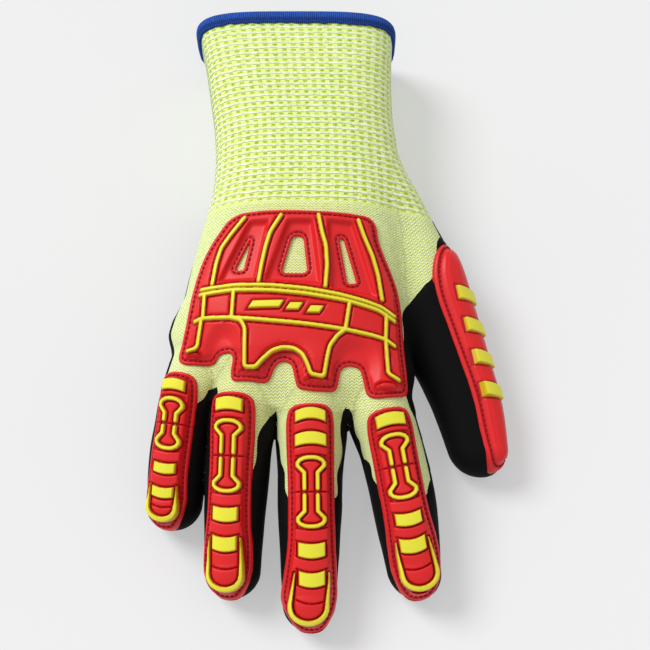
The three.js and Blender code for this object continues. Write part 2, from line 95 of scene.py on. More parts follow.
DIGITS = {
    "little": {"square": 2.25, "nose": 9.6, "root": 12.0, "blend": 5.0, "rows": np.array([
        [-77.0, -61.6, -40.3, 1.5, 22.5],
        [-65.0, -61.1, -38.8, 3.5, 27.5],
        [-54.0, -60.2, -37.2, 5.0, 31.0],
        [-46.0, -58.7, -36.0, 6.0, 33.5],
        [-30.0, -55.6, -31.2, 5.5, 40.0],
        [-6.0, -48.5, -33.0, 10.0, 38.0],
    ])},
    "ring": {"square": 2.25, "nose": 10.4, "root": 12.0, "blend": 5.0, "rows": np.array([
        [-104.6, -36.9, -15.6, 1.5, 21.5],
        [-84.0, -37.1, -13.9, 4.5, 28.5],
        [-70.0, -37.0, -12.4, 6.0, 32.5],
        [-58.0, -36.4, -11.4, 7.5, 36.0],
        [-38.0, -35.3, -8.4, 6.0, 43.0],
        [-20.0, -32.0, -10.0, 8.0, 48.0],
    ])},
    "middle": {"square": 2.25, "nose": 11.0, "root": 12.0, "blend": 5.0, "rows": np.array([
        [-117.2, -4.6, 15.6, 1.5, 21.0],
        [-94.0, -5.8, 17.2, 4.8, 29.0],
        [-80.0, -6.6, 18.1, 6.3, 33.0],
        [-66.0, -6.7, 18.5, 7.5, 37.0],
        [-46.0, -8.0, 20.4, 6.0, 43.0],
        [-26.0, -6.0, 18.0, 8.0, 48.5],
    ])},
    "index": {"square": 2.25, "nose": 10.4, "root": 12.0, "blend": 5.0, "rows": np.array([
        [-104.7, 38.6, 59.0, 1.5, 21.5],
        [-86.0, 34.0, 58.0, 4.8, 29.5],
        [-72.0, 31.0, 56.4, 6.0, 33.2],
        [-60.0, 28.0, 53.9, 7.5, 36.8],
        [-42.0, 21.2, 49.2, 6.0, 43.0],
        [-8.0, 18.0, 40.5, 9.0, 43.0],
    ])},
    "thumb": {"square": 2.25, "nose": 10.4, "root": 12.0, "blend": 7.0, "rows": np.array([
        [-53.5, 64.9, 86.0, 0.5, 22.5],
        [-33.0, 57.6, 83.4, 0.0, 27.0],
        [-15.0, 48.8, 78.6, 0.0, 30.5],
        [4.0, 38.0, 73.6, 0.0, 34.0],
        [28.0, 31.5, 66.5, 1.0, 39.0],
        [44.0, 26.0, 58.5, 5.0, 42.5],
        [52.0, 25.0, 54.2, 8.0, 44.5],
        [74.0, 22.0, 41.0, 14.0, 47.0],
    ])},
}
TIP_SINK = 0.35
CUFF_SQUARING = 60.0

# The knit: where the white courses start and end, the width of a wale and the height of a course
# on the hand, how far its chevrons rise, and the distance between two dashes in the cuff.
COURSES_FROM = 44.2
COURSES_UP_TO = RIM_Y - 5.4
WALE = 1.5
COURSE = 1.15
CHEVRON_RISE = 1.5
DASH_SPACING = 4.2

# The dipped coating: the height it reaches along the hand, and the tips that it covers all round.
DIP_HEIGHT = np.array([[-150, 12], [-95, 18], [-60, 24], [-20, 29], [20, 28], [56, 26]], float)
DIP_END_Y = 56.0
DIPPED_TIPS = [
    [(-75, -26), (-56, -26), (-51.4, -27), (-46, -35), (-41.2, -40.1), (-38.2, -37), (-36.4, -33.4),
     (-33.4, -33.0), (-32.4, -36), (-32.2, -41), (-31.6, -52), (-27, -62),
     (-18.4, -69.5), (-16.7, -61.9), (-13.5, -49.8), (-11.1, -44.5), (-8.6, -42.7), (-7.4, -46.8),
     (-7.1, -56.4), (-5.2, -70), (-2.7, -80.3), (-2.3, -86), (7, -82), (17.2, -76.8),
     (18.2, -63), (19.4, -44), (20.8, -41), (22.9, -44), (26.3, -57), (30.3, -65.5),
     (34.2, -75.5), (44, -76), (53.8, -77), (56.5, -68), (64, -58), (75, -50), (75, -150),
     (-75, -150)],
    [(44.0, -34), (44.6, -14), (44.6, -8), (45.3, -1.5), (46.5, 2.7), (49.5, 7), (53.1, 9.9),
     (57.6, 14.4), (59.5, 28), (62, 36), (110, 60), (110, -90), (62, -75)],
]
# The coat thins out over this distance inside its edge, and dives under the knit outside it.
COAT_FULL = 1.6
COAT_FADE = 2.0
COAT_UNDER = 0.9

# The guards, measured from the skin: the rim's edge, the sewn flange, the raised body.
EDGE_TOP = 0.9
FLANGE_TOP = 1.9
BODY_TOP = 4.7
RIB_TOP = 6.1
RIB_FOOT = 3.6
GUARD_SEAT = 0.15
STITCH_INSET = 1.55
STITCH_HEIGHT = FLANGE_TOP - 0.12
GUARD_LOWEST = 0.5
BACK_LOWEST = 30.0

# The ribs: their height at the edge and in the middle, and the radius of the edge.
BACK_RIB_HEIGHTS = (RIB_FOOT + 1.1, RIB_TOP - 0.25)
DIGIT_RIB_HEIGHTS = (RIB_FOOT + 1.0, RIB_TOP - 0.3)
RIB_ROUND = 0.42

# The side of a face of each moulded piece, and the angle from which an edge stays sharp.
BACK_STEP = 0.45
BACK_RIB_STEP = 0.33
DIGIT_STEP = 0.36
DIGIT_RIB_STEP = 0.3
SHARP = 62.0

BACK_BOX = (-50, -40, 49, 40)

BACK_OUTLINE = [
    (-23.3, 37.2), (-12.6, 37.7), (4.6, 37.5), (20.4, 36.8), (30.4, 36.1), (33.3, 33.4),
    (34.4, 25.9), (36.7, 20.2), (40.4, 12.4), (42.8, 5.7), (44.1, -3.4), (44.5, -11.4),
    (45.0, -19.6), (45.9, -27.4), (46.6, -33.5), (45.2, -37.8), (39.8, -39.0), (32.6, -39.9),
    (29.0, -38.6), (27.3, -31.4), (26.3, -27.8), (21.6, -26.8), (18.4, -28.4), (17.4, -34.0),
    (16.4, -37.2), (7.3, -37.4), (0.6, -36.3), (-0.7, -30.6), (-1.6, -26.6), (-5.4, -25.2),
    (-8.6, -27.6), (-10.2, -32.0), (-12.2, -33.6), (-20.0, -32.6), (-26.2, -32.7), (-26.7, -28.6),
    (-25.4, -23.4), (-27.0, -21.3), (-31.6, -21.7), (-33.2, -24.8), (-38.7, -24.8), (-46.4, -24.5),
    (-48.9, -22.0), (-48.0, -17.0), (-46.6, -12.0), (-45.0, -4.4), (-43.7, 2.9), (-41.9, 10.3),
    (-39.3, 18.2), (-36.0, 24.5), (-32.6, 29.3), (-28.6, 34.6),
]
BACK_RIM = 3.0
# The windows: the hole, the radius of its corners, and the seat that is sunk round it.
WINDOWS = [
    {"round": 1.0, "hole": [(-18.6, 25.2), (-25.0, 12.4), (-21.6, 12.2)],
     "seat": [(-19.4, 32.8), (-10.4, 32.8), (-16.2, 6.6), (-32.8, 6.6)]},
    {"round": 2.4, "hole": [(-1.4, 26.4), (3.0, 26.4), (4.8, 10.6), (-6.0, 10.6)],
     "seat": [(-3.6, 32.8), (7.4, 32.9), (11.0, 4.8), (-13.6, 6.2)]},
    {"round": 1.2, "hole": [(17.8, 25.6), (19.6, 25.4), (25.0, 7.0), (21.2, 6.6)],
     "seat": [(12.4, 33.0), (24.0, 32.4), (33.8, 0.6), (13.8, 3.2)]},
]
SEAT_ROUND = 1.8
OUTLINE_ROUND = 2.4
ROUTE_ROUND = 1.4
HOLE_FLANGE = 2.6

# The raised ribs of the back guard as routes of x, y.
BACK_RIBS = [
    [(-21.2, 33.6), (-26.8, 26.9), (-30.8, 21.4), (-32.8, 15.0), (-34.3, 6.4)],
    [(-6.1, 34.0), (-10.5, 26.9), (-12.4, 20.6), (-14.0, 13.0), (-15.1, 6.4)],
    [(9.4, 34.0), (10.8, 26.9), (12.4, 21.4), (12.9, 13.0), (12.2, 4.2)],
    [(25.9, 32.6), (28.1, 26.2), (31.6, 18.2), (33.9, 10.4), (35.5, 0.4)],
]
KNUCKLE_FRAME = [
    [(-38.8, 4.5), (-24.5, 5.0), (-10.3, 4.4), (3.8, 3.0), (17.9, 0.9), (28.5, -1.2),
     (35.5, -3.0), (40.6, -5.8)],
    [(-39.3, 2.4), (-25.9, 3.0), (-10.3, 2.3), (3.8, 0.9), (21.4, -1.6), (34.1, -4.4),
     (40.6, -7.8)],
    [(-37.5, 2.4), (-38.1, -7.4)],
    [(-25.4, 2.6), (-26.1, -8.0)],
    [(22.1, -2.2), (20.4, -13.0)],
    [(37.3, -5.8), (36.9, -16.2)],
    [(-41.4, -8.1), (-38.5, -7.3), (-26.5, -8.2), (-10.3, -10.1), (3.8, -11.5), (20.0, -13.3),
     (32.0, -15.0), (36.9, -16.1), (40.6, -18.2)],
    [(-38.8, -8.1), (-40.5, -18.5), (-44.4, -19.7)],
    [(-26.0, -8.4), (-22.4, -9.4), (-20.6, -12.6), (-20.7, -28.2), (-16.1, -28.4), (-14.1, -26.0),
     (-9.5, -22.1), (-5.0, -20.8), (-0.4, -21.4), (2.9, -23.8), (5.2, -28.4), (6.3, -31.8),
     (11.6, -32.6), (12.9, -24.9), (14.0, -20.0), (17.2, -15.7), (20.4, -13.4)],
    [(36.9, -16.1), (37.8, -30.3), (42.2, -32.6)],
]
BACK_RIB_HALF = 0.86
FRAME_HALF = 0.82
# The bars of the plate: middle x, y and length.
PLATE_BARS = [(-12.0, -3.4, 13.0), (-0.5, -4.4, 5.5), (8.0, -5.6, 5.5)]
PLATE_BAR_HEIGHT = 3.0
PLATE_BAR_SLANT = 1.0

# The scoops between the lobes: middle x, y, reach across, reach along, height of the steps.
SCOOPS = [(-29.4, -22.0, 8.8, 13.4, 0.0), (-4.6, -27.0, 12.5, 9.6, 0.13),
          (24.4, -27.4, 11.2, 13.2, 0.0)]
# The oval faces at the ends of the lobes: middle x, y, half length, half height.
LOBE_BEVELS = [(-42.6, -21.4, 3.9, 1.4), (-18.6, -30.2, 4.6, 1.5), (9.2, -34.2, 5.2, 1.5),
               (37.6, -35.4, 4.8, 1.6)]

# The guards on the digits. Each lies along its digit from "tip", turned by yaw about Z, roll
# round the digit and pitch up to the knuckle. A flange row is the distance from the tip, and the
# width to the left and to the right there. A bar is its two ends along the guard and half its
# width. A bone is its two ends, and half its width at them and at the waist. A tip rib is where
# it starts and ends, half its width and how far it leans.
GUARDS = {
    "little": {
        "tip": (-53.3, -85.8, 11.0), "yaw": 8.2, "pitch": 11.0, "roll": -12.0, "rim": 2.4,
        "flange": [(-1.4, 3.4, 3.4), (3, 7, 7), (9, 9.2, 8.7), (22, 8.6, 8.4), (42, 8.2, 8.6),
                   (56.8, 8.2, 8.8), (60.8, 7.4, 7.8), (62.6, 5.0, 5.2), (63.2, 1.7, 1.7)],
        "bars": [(55.6, 60.2, 5.1), (20.9, 25.2, 4.6), (11.0, 15.3, 4.5)],
        "bone": (30.6, 52.8, 4.7, 2.5), "tip_rib": (16.6, 1.4, 6.0, 0.0),
        "names": ["bar_1", "bar_2", "bar_3"],
    },
    "ring": {
        "tip": (-27.2, -115.0, 11.0), "yaw": 3.3, "pitch": 10.0, "roll": -11.0, "rim": 2.6,
        "flange": [(-1.2, 3.6, 3.6), (3.4, 7.8, 7.8), (10, 10.8, 10.0), (20, 10.7, 10.1),
                   (31, 9.5, 9.3), (53, 9.1, 9.1), (68, 9.6, 9.6), (76.6, 9.5, 9.5),
                   (80.6, 8.5, 8.5), (82.2, 6.0, 6.0), (82.8, 1.9, 1.9)],
        "bars": [(75.3, 80.6, 5.7), (29.8, 35.6, 5.2), (17.8, 23.7, 5.0)],
        "bone": (41.5, 71.8, 5.2, 2.6), "tip_rib": (23.8, 1.6, 6.9, 0.2),
        "names": ["bar_1", "bar_2", "bar_3"],
    },
    "middle": {
        "tip": (6.6, -128.5, 11.0), "yaw": -0.9, "pitch": 9.5, "roll": 2.0, "rim": 2.7,
        "flange": [(-1.2, 4.0, 3.6), (3.4, 8.8, 7.6), (12, 12.5, 10.5), (22, 11.4, 10.6),
                   (34, 9.8, 10.1), (58, 9.3, 9.7), (74, 9.7, 9.8), (84.8, 9.6, 9.6),
                   (88.8, 8.5, 8.5), (90.4, 6.0, 6.0), (91.0, 2.0, 2.0)],
        "bars": [(84.6, 89.2, 6.2), (74.4, 79.5, 6.4), (28.4, 34.3, 5.5), (16.8, 22.6, 5.3)],
        "bone": (40.4, 69.9, 5.4, 2.7), "tip_rib": (22.8, 1.4, 7.6, -1.5),
        "names": ["bar_1", "bar_0", "bar_2", "bar_3"],
    },
    "index": {
        "tip": (50.8, -115.1, 11.0), "yaw": -11.1, "pitch": 10.5, "roll": 2.0, "rim": 2.6,
        "flange": [(-1.2, 3.6, 3.9), (3.4, 7.6, 8.3), (12, 9.8, 11.2), (22, 9.8, 11.0),
                   (34, 9.3, 9.6), (56, 9.2, 9.2), (71.4, 9.2, 9.2), (75.4, 8.1, 8.1),
                   (77.0, 5.8, 5.8), (77.6, 1.9, 1.9)],
        "bars": [(70.4, 75.6, 6.0), (29.0, 34.1, 5.3), (17.9, 23.6, 5.3)],
        "bone": (39.9, 67.2, 5.3, 2.7), "tip_rib": (23.2, 2.2, 7.3, 0.9),
        "names": ["bar_1", "bar_2", "bar_3"],
    },
    "thumb": {
        "tip": (79.5, -62.6, 11.0), "yaw": -17.2, "pitch": 4.0, "roll": 42.0, "rim": 2.9,
        "flange": [(-1.6, 2.0, 2.4), (0.4, 4.6, 5.4), (4, 6.2, 8), (14, 7.0, 10.2), (30, 7.6, 10.8),
                   (60, 10.4, 11.2), (78, 11.8, 10.8), (87, 10.6, 9.4), (93.3, 7.2, 6.4),
                   (95.8, 2.8, 2.4)],
        "bars": [(68.0, 76.0, 5.6), (54.0, 62.0, 5.6), (40.0, 48.0, 5.4), (26.0, 34.0, 5.2)],
        "names": ["bar_1", "bar_2", "bar_3", "bar_4"],
    },
}
BOW = 1.3
BOW_HALF = 5.6
RIB_HALF = 0.84
BONE_CUT = 0.5
FINGER_BODY = 4.3
BAR_GROOVE = 0.3
BONE_GROOVE = 0.35
THUMB_BAR_HALF = 3.0
THUMB_BAR_LEAN = 0.28

# The stage: the camera's target and lens, half the floor's side, and for each sun where it
# stands, how wide it is in degrees and its strength.
TARGET = (12.0, -2.0, 25.0)
LENS = 91.1
FLOOR_HALF = 3000.0
SUNS = {
    "key": ((-540, 360, 780), 26.0, 2.2),
    "fill": ((500, -620, 900), 80.0, 0.05),
}
SKY_STRENGTH = 0.52


# Curves and sections


def through(knots, values, at):
    """Rows of values on a smooth curve through the knots, clamped at both ends.

    Between two knots it is the cubic that meets both values and both slopes, and the slope at a
    knot is that of the parabola through its neighbours.
    """
    slopes = np.gradient(values, knots, axis=0)
    at = np.clip(at, knots[0], knots[-1])
    low = np.clip(np.searchsorted(knots, at) - 1, 0, len(knots) - 2)
    span = knots[low + 1] - knots[low]
    t = ((at - knots[low]) / span)[..., None]
    span = span[..., None]
    rise = t * t * (3 - 2 * t)
    start = t * (1 - t) ** 2 * span * slopes[low]
    end = -t * t * (1 - t) * span * slopes[low + 1]
    return values[low] + rise * (values[low + 1] - values[low]) + start + end


def smoothstep(value, start, end):
    """0 before start, 1 after end, and an even S between."""
    t = np.clip((value - start) / (end - start), 0, 1)
    return t * t * (3 - 2 * t)


def ridge(value, middle, width):
    """A bell of height 1 at the middle that has fallen to a third at one width from it."""
    return np.exp(-(((value - middle) / width) ** 2))


def smooth_loop(points, count):
    """A closed smooth loop through a few points, as count even spots.

    The points are knots at the square root of their distances, a centripetal spline, and the
    loop is then spaced out evenly by its length.
    """
    spots = np.asarray(points, float)
    wrapped = np.vstack([spots[-3:], spots, spots[:3]])
    gaps = np.sqrt(np.linalg.norm(np.diff(wrapped, axis=0), axis=1))
    knots = np.concatenate([[0], np.cumsum(gaps)])
    fine = np.linspace(knots[3], knots[len(spots) + 3], 4 * count + 1)
    curve = through(knots, wrapped, fine)
    reach = np.concatenate([[0], np.cumsum(np.linalg.norm(np.diff(curve, axis=0), axis=1))])
    even = np.linspace(0, reach[-1], count + 1)[:-1]
    return np.stack([np.interp(even, reach, curve[:, axis]) for axis in (0, 1)], 1)


def rounded(points, radius, closed=True):
    """A line of straight runs whose corners are cut back by radius and bent round.

    The bend is the curve (1-t)^2 a + 2 t (1-t) corner + t^2 b between the two cuts, and no cut
    takes more than 0.48 of a run.
    """
    corner = np.asarray(points, float)
    before = corner - np.roll(corner, 1, axis=0)
    after = np.roll(corner, -1, axis=0) - corner
    if not closed:
        before[0] = after[-1] = 0
    cuts = []
    for run in (-before, after):
        length = np.maximum(np.linalg.norm(run, axis=1, keepdims=True), 1e-6)
        cuts.append(corner + run * np.minimum(radius / length, 0.48))
    t = np.linspace(0, 1, 7)[:, None, None]
    bend = (1 - t) ** 2 * cuts[0] + 2 * t * (1 - t) * corner + t * t * cuts[1]
    return bend.transpose(1, 0, 2).reshape(-1, 2)


def route_depth(x, y, route, half):
    """How deep x, y lies inside a rib along a route: half its width less the distance to it.

    half is one number, or one for each point of the route.
    """
    route = np.asarray(route, float)
    half = np.broadcast_to(np.asarray(half, float), len(route))
    best = np.full(x.shape, -1e3)
    for (ax, ay), (bx, by), start, end in zip(route[:-1], route[1:], half[:-1], half[1:]):
        length = max((bx - ax) ** 2 + (by - ay) ** 2, 1e-12)
        t = np.clip(((x - ax) * (bx - ax) + (y - ay) * (by - ay)) / length, 0, 1)
        far = np.hypot(x - ax - t * (bx - ax), y - ay - t * (by - ay))
        best = np.maximum(best, start + t * (end - start) - far)
    return best


def loop_depth(x, y, loop):
    """How deep x, y lies inside a closed loop, in mm, and negative outside it.

    Inside is where a line to one side crosses the loop an odd number of times.
    """
    loop = np.asarray(loop, float)
    far = -route_depth(x, y, np.vstack([loop, loop[:1]]), 0.0)
    crossings = np.zeros(x.shape, int)
    for (ax, ay), (bx, by) in zip(loop, np.roll(loop, -1, axis=0)):
        between = (ay > y) != (by > y)
        if ay != by:
            crossings += between & (x < ax + (y - ay) * (bx - ax) / (by - ay))
    return np.where(crossings % 2 == 1, far, -far)


def joined_ribs(x, y, routes, half):
    """The depth inside any of several ribs."""
    curved = [rounded(route, ROUTE_ROUND, closed=False) for route in routes]
    return np.max([route_depth(x, y, route, half) for route in curved], axis=0)


# The skin as a distance


def squareness(tube, row):
    """The power of a tube's sections. The cuff grows squarer towards the rim."""
    more = tube.get("rim_square", tube["square"]) - tube["square"]
    return tube["square"] + more * smoothstep(row, RIM_Y - CUFF_SQUARING, RIM_Y)


def hand_row(x, y):
    """The row of the hand that a place is on: y = row + front(row) times the arc at x."""
    rows = HAND["rows"]
    arc = ARC_PER_MM * (x - ARC_MIDDLE_X) ** 2
    low = np.full(x.shape, -160.0)
    high = np.full(x.shape, 160.0)
    for _ in range(20):
        middle = (low + high) / 2
        above = middle + np.interp(middle, rows[:, 0], rows[:, 5]) * arc > y
        high = np.where(above, middle, high)
        low = np.where(above, low, middle)
    return (low + high) / 2


def tube_place(tube, x, y, z):
    """Where a place lies in a tube: steps from the section's middle, and the section's halves."""
    rows = tube["rows"]
    row = hand_row(x, y) if rows.shape[1] > 5 else y
    left, right, low, high = np.moveaxis(through(rows[:, 0], rows[:, 1:5], row), -1, 0)
    past_tip = np.minimum(0, row - rows[0, 0])
    past_root = np.maximum(0, row - rows[-1, 0])
    step = rows[1, 0] - rows[0, 0]
    drift = (rows[1, 1] + rows[1, 2] - rows[0, 1] - rows[0, 2]) / 2 / step
    sink = TIP_SINK * (rows[1, 3] + rows[1, 4] - rows[0, 3] - rows[0, 4]) / 2 / step
    across = x - (left + right) / 2 - drift * past_tip
    up = z - (low + high) / 2 - sink * past_tip
    return across, up, (right - left) / 2, (high - low) / 2, past_tip, past_root


def tube_field(tube, x, y, z):
    """The distance in mm outside one tube, measured along the line from its middle.

    reach is the place's size in the section, (|across/half|^k + |up/half|^k)^(1/k), and the ends
    are ellipsoids. The skin is at reach 1, so the distance is far * (1 - 1 / reach).
    """
    across, up, half_width, half_height, past_tip, past_root = tube_place(tube, x, y, z)
    power = squareness(tube, y)
    size = np.abs(across / half_width) ** power + np.abs(up / half_height) ** power
    ends = (past_tip / tube["nose"]) ** 2 + (past_root / tube["root"]) ** 2
    reach = np.sqrt(size ** (2 / power) + ends)
    far = np.sqrt(across**2 + up**2 + past_tip**2 + past_root**2)
    return far - far / np.maximum(reach, 1e-6)


def soft_least(first, second, blend):
    """The smaller of two distances, rounded off where they are less than blend apart."""
    close = np.maximum(0, blend - np.abs(first - second))
    return np.minimum(first, second) - close * close / (4 * blend)


def glove_field(points):
    """The distance in mm outside the bare knit. Each digit blends into the hand."""
    x, y, z = points[..., 0], points[..., 1], points[..., 2]
    hand = tube_field(HAND, x, y, z)
    field = hand
    for digit in DIGITS.values():
        with_digit = soft_least(hand, tube_field(digit, x, y, z), digit["blend"])
        field = np.minimum(field, with_digit)
    return -soft_least(-field, z - FLOOR_SKIN, FLOOR_BLEND)


def outward(points):
    """The unit direction in which the field grows fastest, from steps of half a mm each way."""
    slope = np.empty(points.shape)
    for axis in range(3):
        step = np.zeros(3)
        step[axis] = 0.5
        slope[..., axis] = glove_field(points + step) - glove_field(points - step)
    return slope / np.maximum(np.linalg.norm(slope, axis=-1, keepdims=True), 1e-9)


def onto_skin(points, height=0.0, rounds=2):
    """Points moved along the outward direction until the field there is height."""
    for _ in range(rounds):
        miss = np.clip(glove_field(points) - height, -1.5, 1.5)
        points = points - miss[..., None] * outward(points)
    return points


# Meshes as arrays


def grid_faces(rows, columns, ring=False):
    """The faces of a grid of rows by columns, closed from the last column to the first if ring."""
    across = np.arange(columns if ring else columns - 1)
    low = (np.arange(rows - 1)[:, None] * columns + across).ravel()
    next_low = (np.arange(rows - 1)[:, None] * columns + (across + 1) % columns).ravel()
    return np.stack([low, next_low, next_low + columns, low + columns], 1)


def closed_sheet(top, bottom, faces):
    """A closed skin from an open sheet of faces with a top, a bottom and a side round its edge."""
    count = len(top)
    starts = faces.ravel()
    ends = np.roll(faces, -1, axis=1).ravel()
    edge = ~np.isin(starts * count + ends, ends * count + starts)
    a, b = starts[edge], ends[edge]
    sides = np.stack([b, a, a + count, b + count], 1)
    return np.vstack([top, bottom]), np.vstack([faces, faces[:, ::-1] + count, sides])


def compacted(faces, count):
    """Faces renumbered to the points that they use, and which points those are."""
    used = np.zeros(count, bool)
    used[faces.ravel()] = True
    number = np.cumsum(used) - 1
    return number[faces], used


def add_mesh(name, points, faces, material, nodes, sharp=180.0, values=None):
    """A named object from points in mm and faces, riding on the glove's one body."""
    mesh = bpy.data.meshes.new(name)
    mesh.from_pydata(points * MM, (), faces)
    if mesh.validate():
        raise RuntimeError(f"{name} has faces that Blender can't use")
    mesh.shade_smooth()
    if sharp < 180:
        mesh.set_sharp_from_angle(angle=math.radians(sharp))
    for key, table in (values or {}).items():
        attribute = mesh.attributes.new(key, "FLOAT_VECTOR", "POINT")
        attribute.data.foreach_set("vector", np.ascontiguousarray(table, np.float32).ravel())
    mesh.materials.append(material)
    obj = bpy.data.objects.new(name, mesh)
    bpy.context.scene.collection.objects.link(obj)
    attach(obj, "root")
    if nodes:
        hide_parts(*nodes)
    return obj


def frame_of(guard):
    """A guard's own frame as a turn, a place and its lowest z: x across the digit, y along it
    and z out of it."""
    turn = (
        Matrix.Rotation(-math.radians(guard["yaw"]), 3, "Z")
        @ Matrix.Rotation(math.radians(guard["pitch"]), 3, "X")
        @ Matrix.Rotation(math.radians(guard["roll"]), 3, "Y")
    )
    return np.array(turn), np.array(guard["tip"]), GUARD_LOWEST


UPRIGHT = (np.eye(3), np.zeros(3), BACK_LOWEST)


def draped(frame, x, y, height, start=62.0):
    """Places in the row frame that lie over x, y of a frame where the field is height.

    Each walks down the frame's z from start by the distance that is left, and stops at the
    frame's lowest z where the field doesn't come down to height.
    """
    turn, place, lowest = frame
    z = np.full(x.shape, start)
    for _ in range(26):
        points = np.stack([x, y, z], -1) @ turn.T + place
        z = np.maximum(lowest, z - 0.95 * (glove_field(points) - height))
    return np.stack([x, y, z], -1) @ turn.T + place


def relief(frame, depth, box, step, top, foot):
    """A moulded piece over a region of a frame: its points, faces and depths, and the x and y
    of its upper side.

    The region is where depth(x, y) is over zero. A square grid is laid over the box, the cells
    with two corners in the region are kept, and their outer corners are moved onto its edge.
    top(x, y, depth) is the height of the upper side above the skin, and foot that of the lower.
    """
    x, y = np.meshgrid(
        np.arange(box[0], box[2] + step, step), np.arange(box[1], box[3] + step, step)
    )
    rows, columns = x.shape
    x, y = x.ravel(), y.ravel()
    inside = depth(x, y)
    faces = grid_faces(rows, columns)
    faces = faces[(inside[faces] > 0).sum(1) >= 2]
    if not len(faces):
        raise RuntimeError("no part of the region lies in its box")
    faces, used = compacted(faces, len(x))
    x, y, inside = x[used], y[used], inside[used]
    edge = inside < 0.3 * step
    for _ in range(3):
        ex, ey = x[edge], y[edge]
        here = depth(ex, ey)
        slope_x = (depth(ex + 0.05, ey) - depth(ex - 0.05, ey)) / 0.1
        slope_y = (depth(ex, ey + 0.05) - depth(ex, ey - 0.05)) / 0.1
        size = np.maximum(slope_x**2 + slope_y**2, 0.2)
        x[edge] = ex - here * slope_x / size
        y[edge] = ey - here * slope_y / size
    inside = np.where(edge, 0, inside)
    upper = draped(frame, x, y, top(x, y, inside))
    lower = draped(frame, x, y, np.full(x.shape, float(foot)))
    points, faces = closed_sheet(upper, lower, faces)
    return points, faces, np.tile(inside, 2), (x, y)


def capsules(starts, ends, up, radius, around=6):
    """Small rounded threads from starts to ends, lying on a surface whose direction is up.

    Each is five rings along the thread, small at its ends, and a cap on each end.
    """
    along = ends - starts
    length = np.linalg.norm(along, axis=1, keepdims=True)
    along = along / length
    side = np.cross(along, up)
    side /= np.linalg.norm(side, axis=1, keepdims=True)
    high = np.cross(side, along)
    place = np.array([0.0, 0.12, 0.5, 0.88, 1.0])
    size = radius * np.array([0.25, 0.85, 1.0, 0.85, 0.25])
    turn = np.arange(around) * 2 * math.pi / around
    ring = np.cos(turn)[:, None] * side[:, None, None] + np.sin(turn)[:, None] * high[:, None, None]
    middle = starts[:, None, None] + (along * length)[:, None, None] * place[:, None, None]
    points = middle + size[:, None, None] * ring
    count = points.shape[0]
    each = len(place) * around
    faces = grid_faces(len(place), around, ring=True)
    faces = (faces[None] + np.arange(count)[:, None, None] * each).reshape(-1, 4)
    caps = np.array([[0, 3, 2, 1], [0, 5, 4, 3]])
    caps = np.vstack([caps, each - 1 - caps])
    caps = (caps[None] + np.arange(count)[:, None, None] * each).reshape(-1, 4)
    return points.reshape(-1, 3), np.vstack([faces, caps])


def inset_loop(loop, inset):
    """A loop moved inwards along the normals of its sides."""
    after = np.roll(loop, -1, axis=0)
    along = after - np.roll(loop, 1, axis=0)
    along /= np.linalg.norm(along, axis=1, keepdims=True)
    way = np.sign(np.sum(loop[:, 0] * after[:, 1] - after[:, 0] * loop[:, 1]))
    return loop + inset * way * np.stack([-along[:, 1], along[:, 0]], 1)


def stitches(frame, loop, inset, height, pitch, radius):
    """A row of threads along a loop, at a height above the skin: their points and faces."""
    path = inset_loop(loop, inset)
    wrapped = np.vstack([path, path[:1]])
    reach = np.concatenate([[0], np.cumsum(np.linalg.norm(np.diff(wrapped, axis=0), axis=1))])
    count = int(round(reach[-1] / pitch))
    at = (np.arange(count)[:, None] + np.array([0.13, 0.87])) * reach[-1] / count
    x, y = (np.interp(at, reach, wrapped[:, axis]) for axis in (0, 1))
    ends = draped(frame, x, y, np.full(x.shape, float(height)))
    return capsules(ends[:, 0], ends[:, 1], outward(ends.mean(1)), radius)


# Materials


def linear(colour):
    """A colour written as hex sRGB, as linear red, green, blue and alpha."""
    parts = np.array([int(colour[i : i + 2], 16) for i in (1, 3, 5)]) / 255
    straight = np.where(parts <= 0.04045, parts / 12.92, ((parts + 0.055) / 1.055) ** 2.4)
    return (*straight.tolist(), 1.0)


def add(tree, kind, *inputs, out=0, **settings):
    """A shader node with its settings and its inputs in order. It returns one output."""
    node = tree.nodes.new("ShaderNode" + kind)
    for name, value in settings.items():
        setattr(node, name, value)
    for socket, value in zip(node.inputs, inputs):
        if isinstance(value, bpy.types.NodeSocket):
            tree.links.new(value, socket)
        elif value is not None:
            socket.default_value = value
    return node.outputs[out]


# A blend node has five more sockets between its factor and its two colours.
BLANKS = (None,) * 5


def begin(name, roughness, **constants):
    """A new material and its shader, with the constants set on the shader's own sockets."""
    material = bpy.data.materials.new(name)
    material.use_nodes = True
    shader = material.node_tree.nodes["Principled BSDF"]
    shader.inputs["Roughness"].default_value = roughness
    for socket, value in constants.items():
        shader.inputs[socket.replace("_", " ")].default_value = value
    return material, material.node_tree, shader


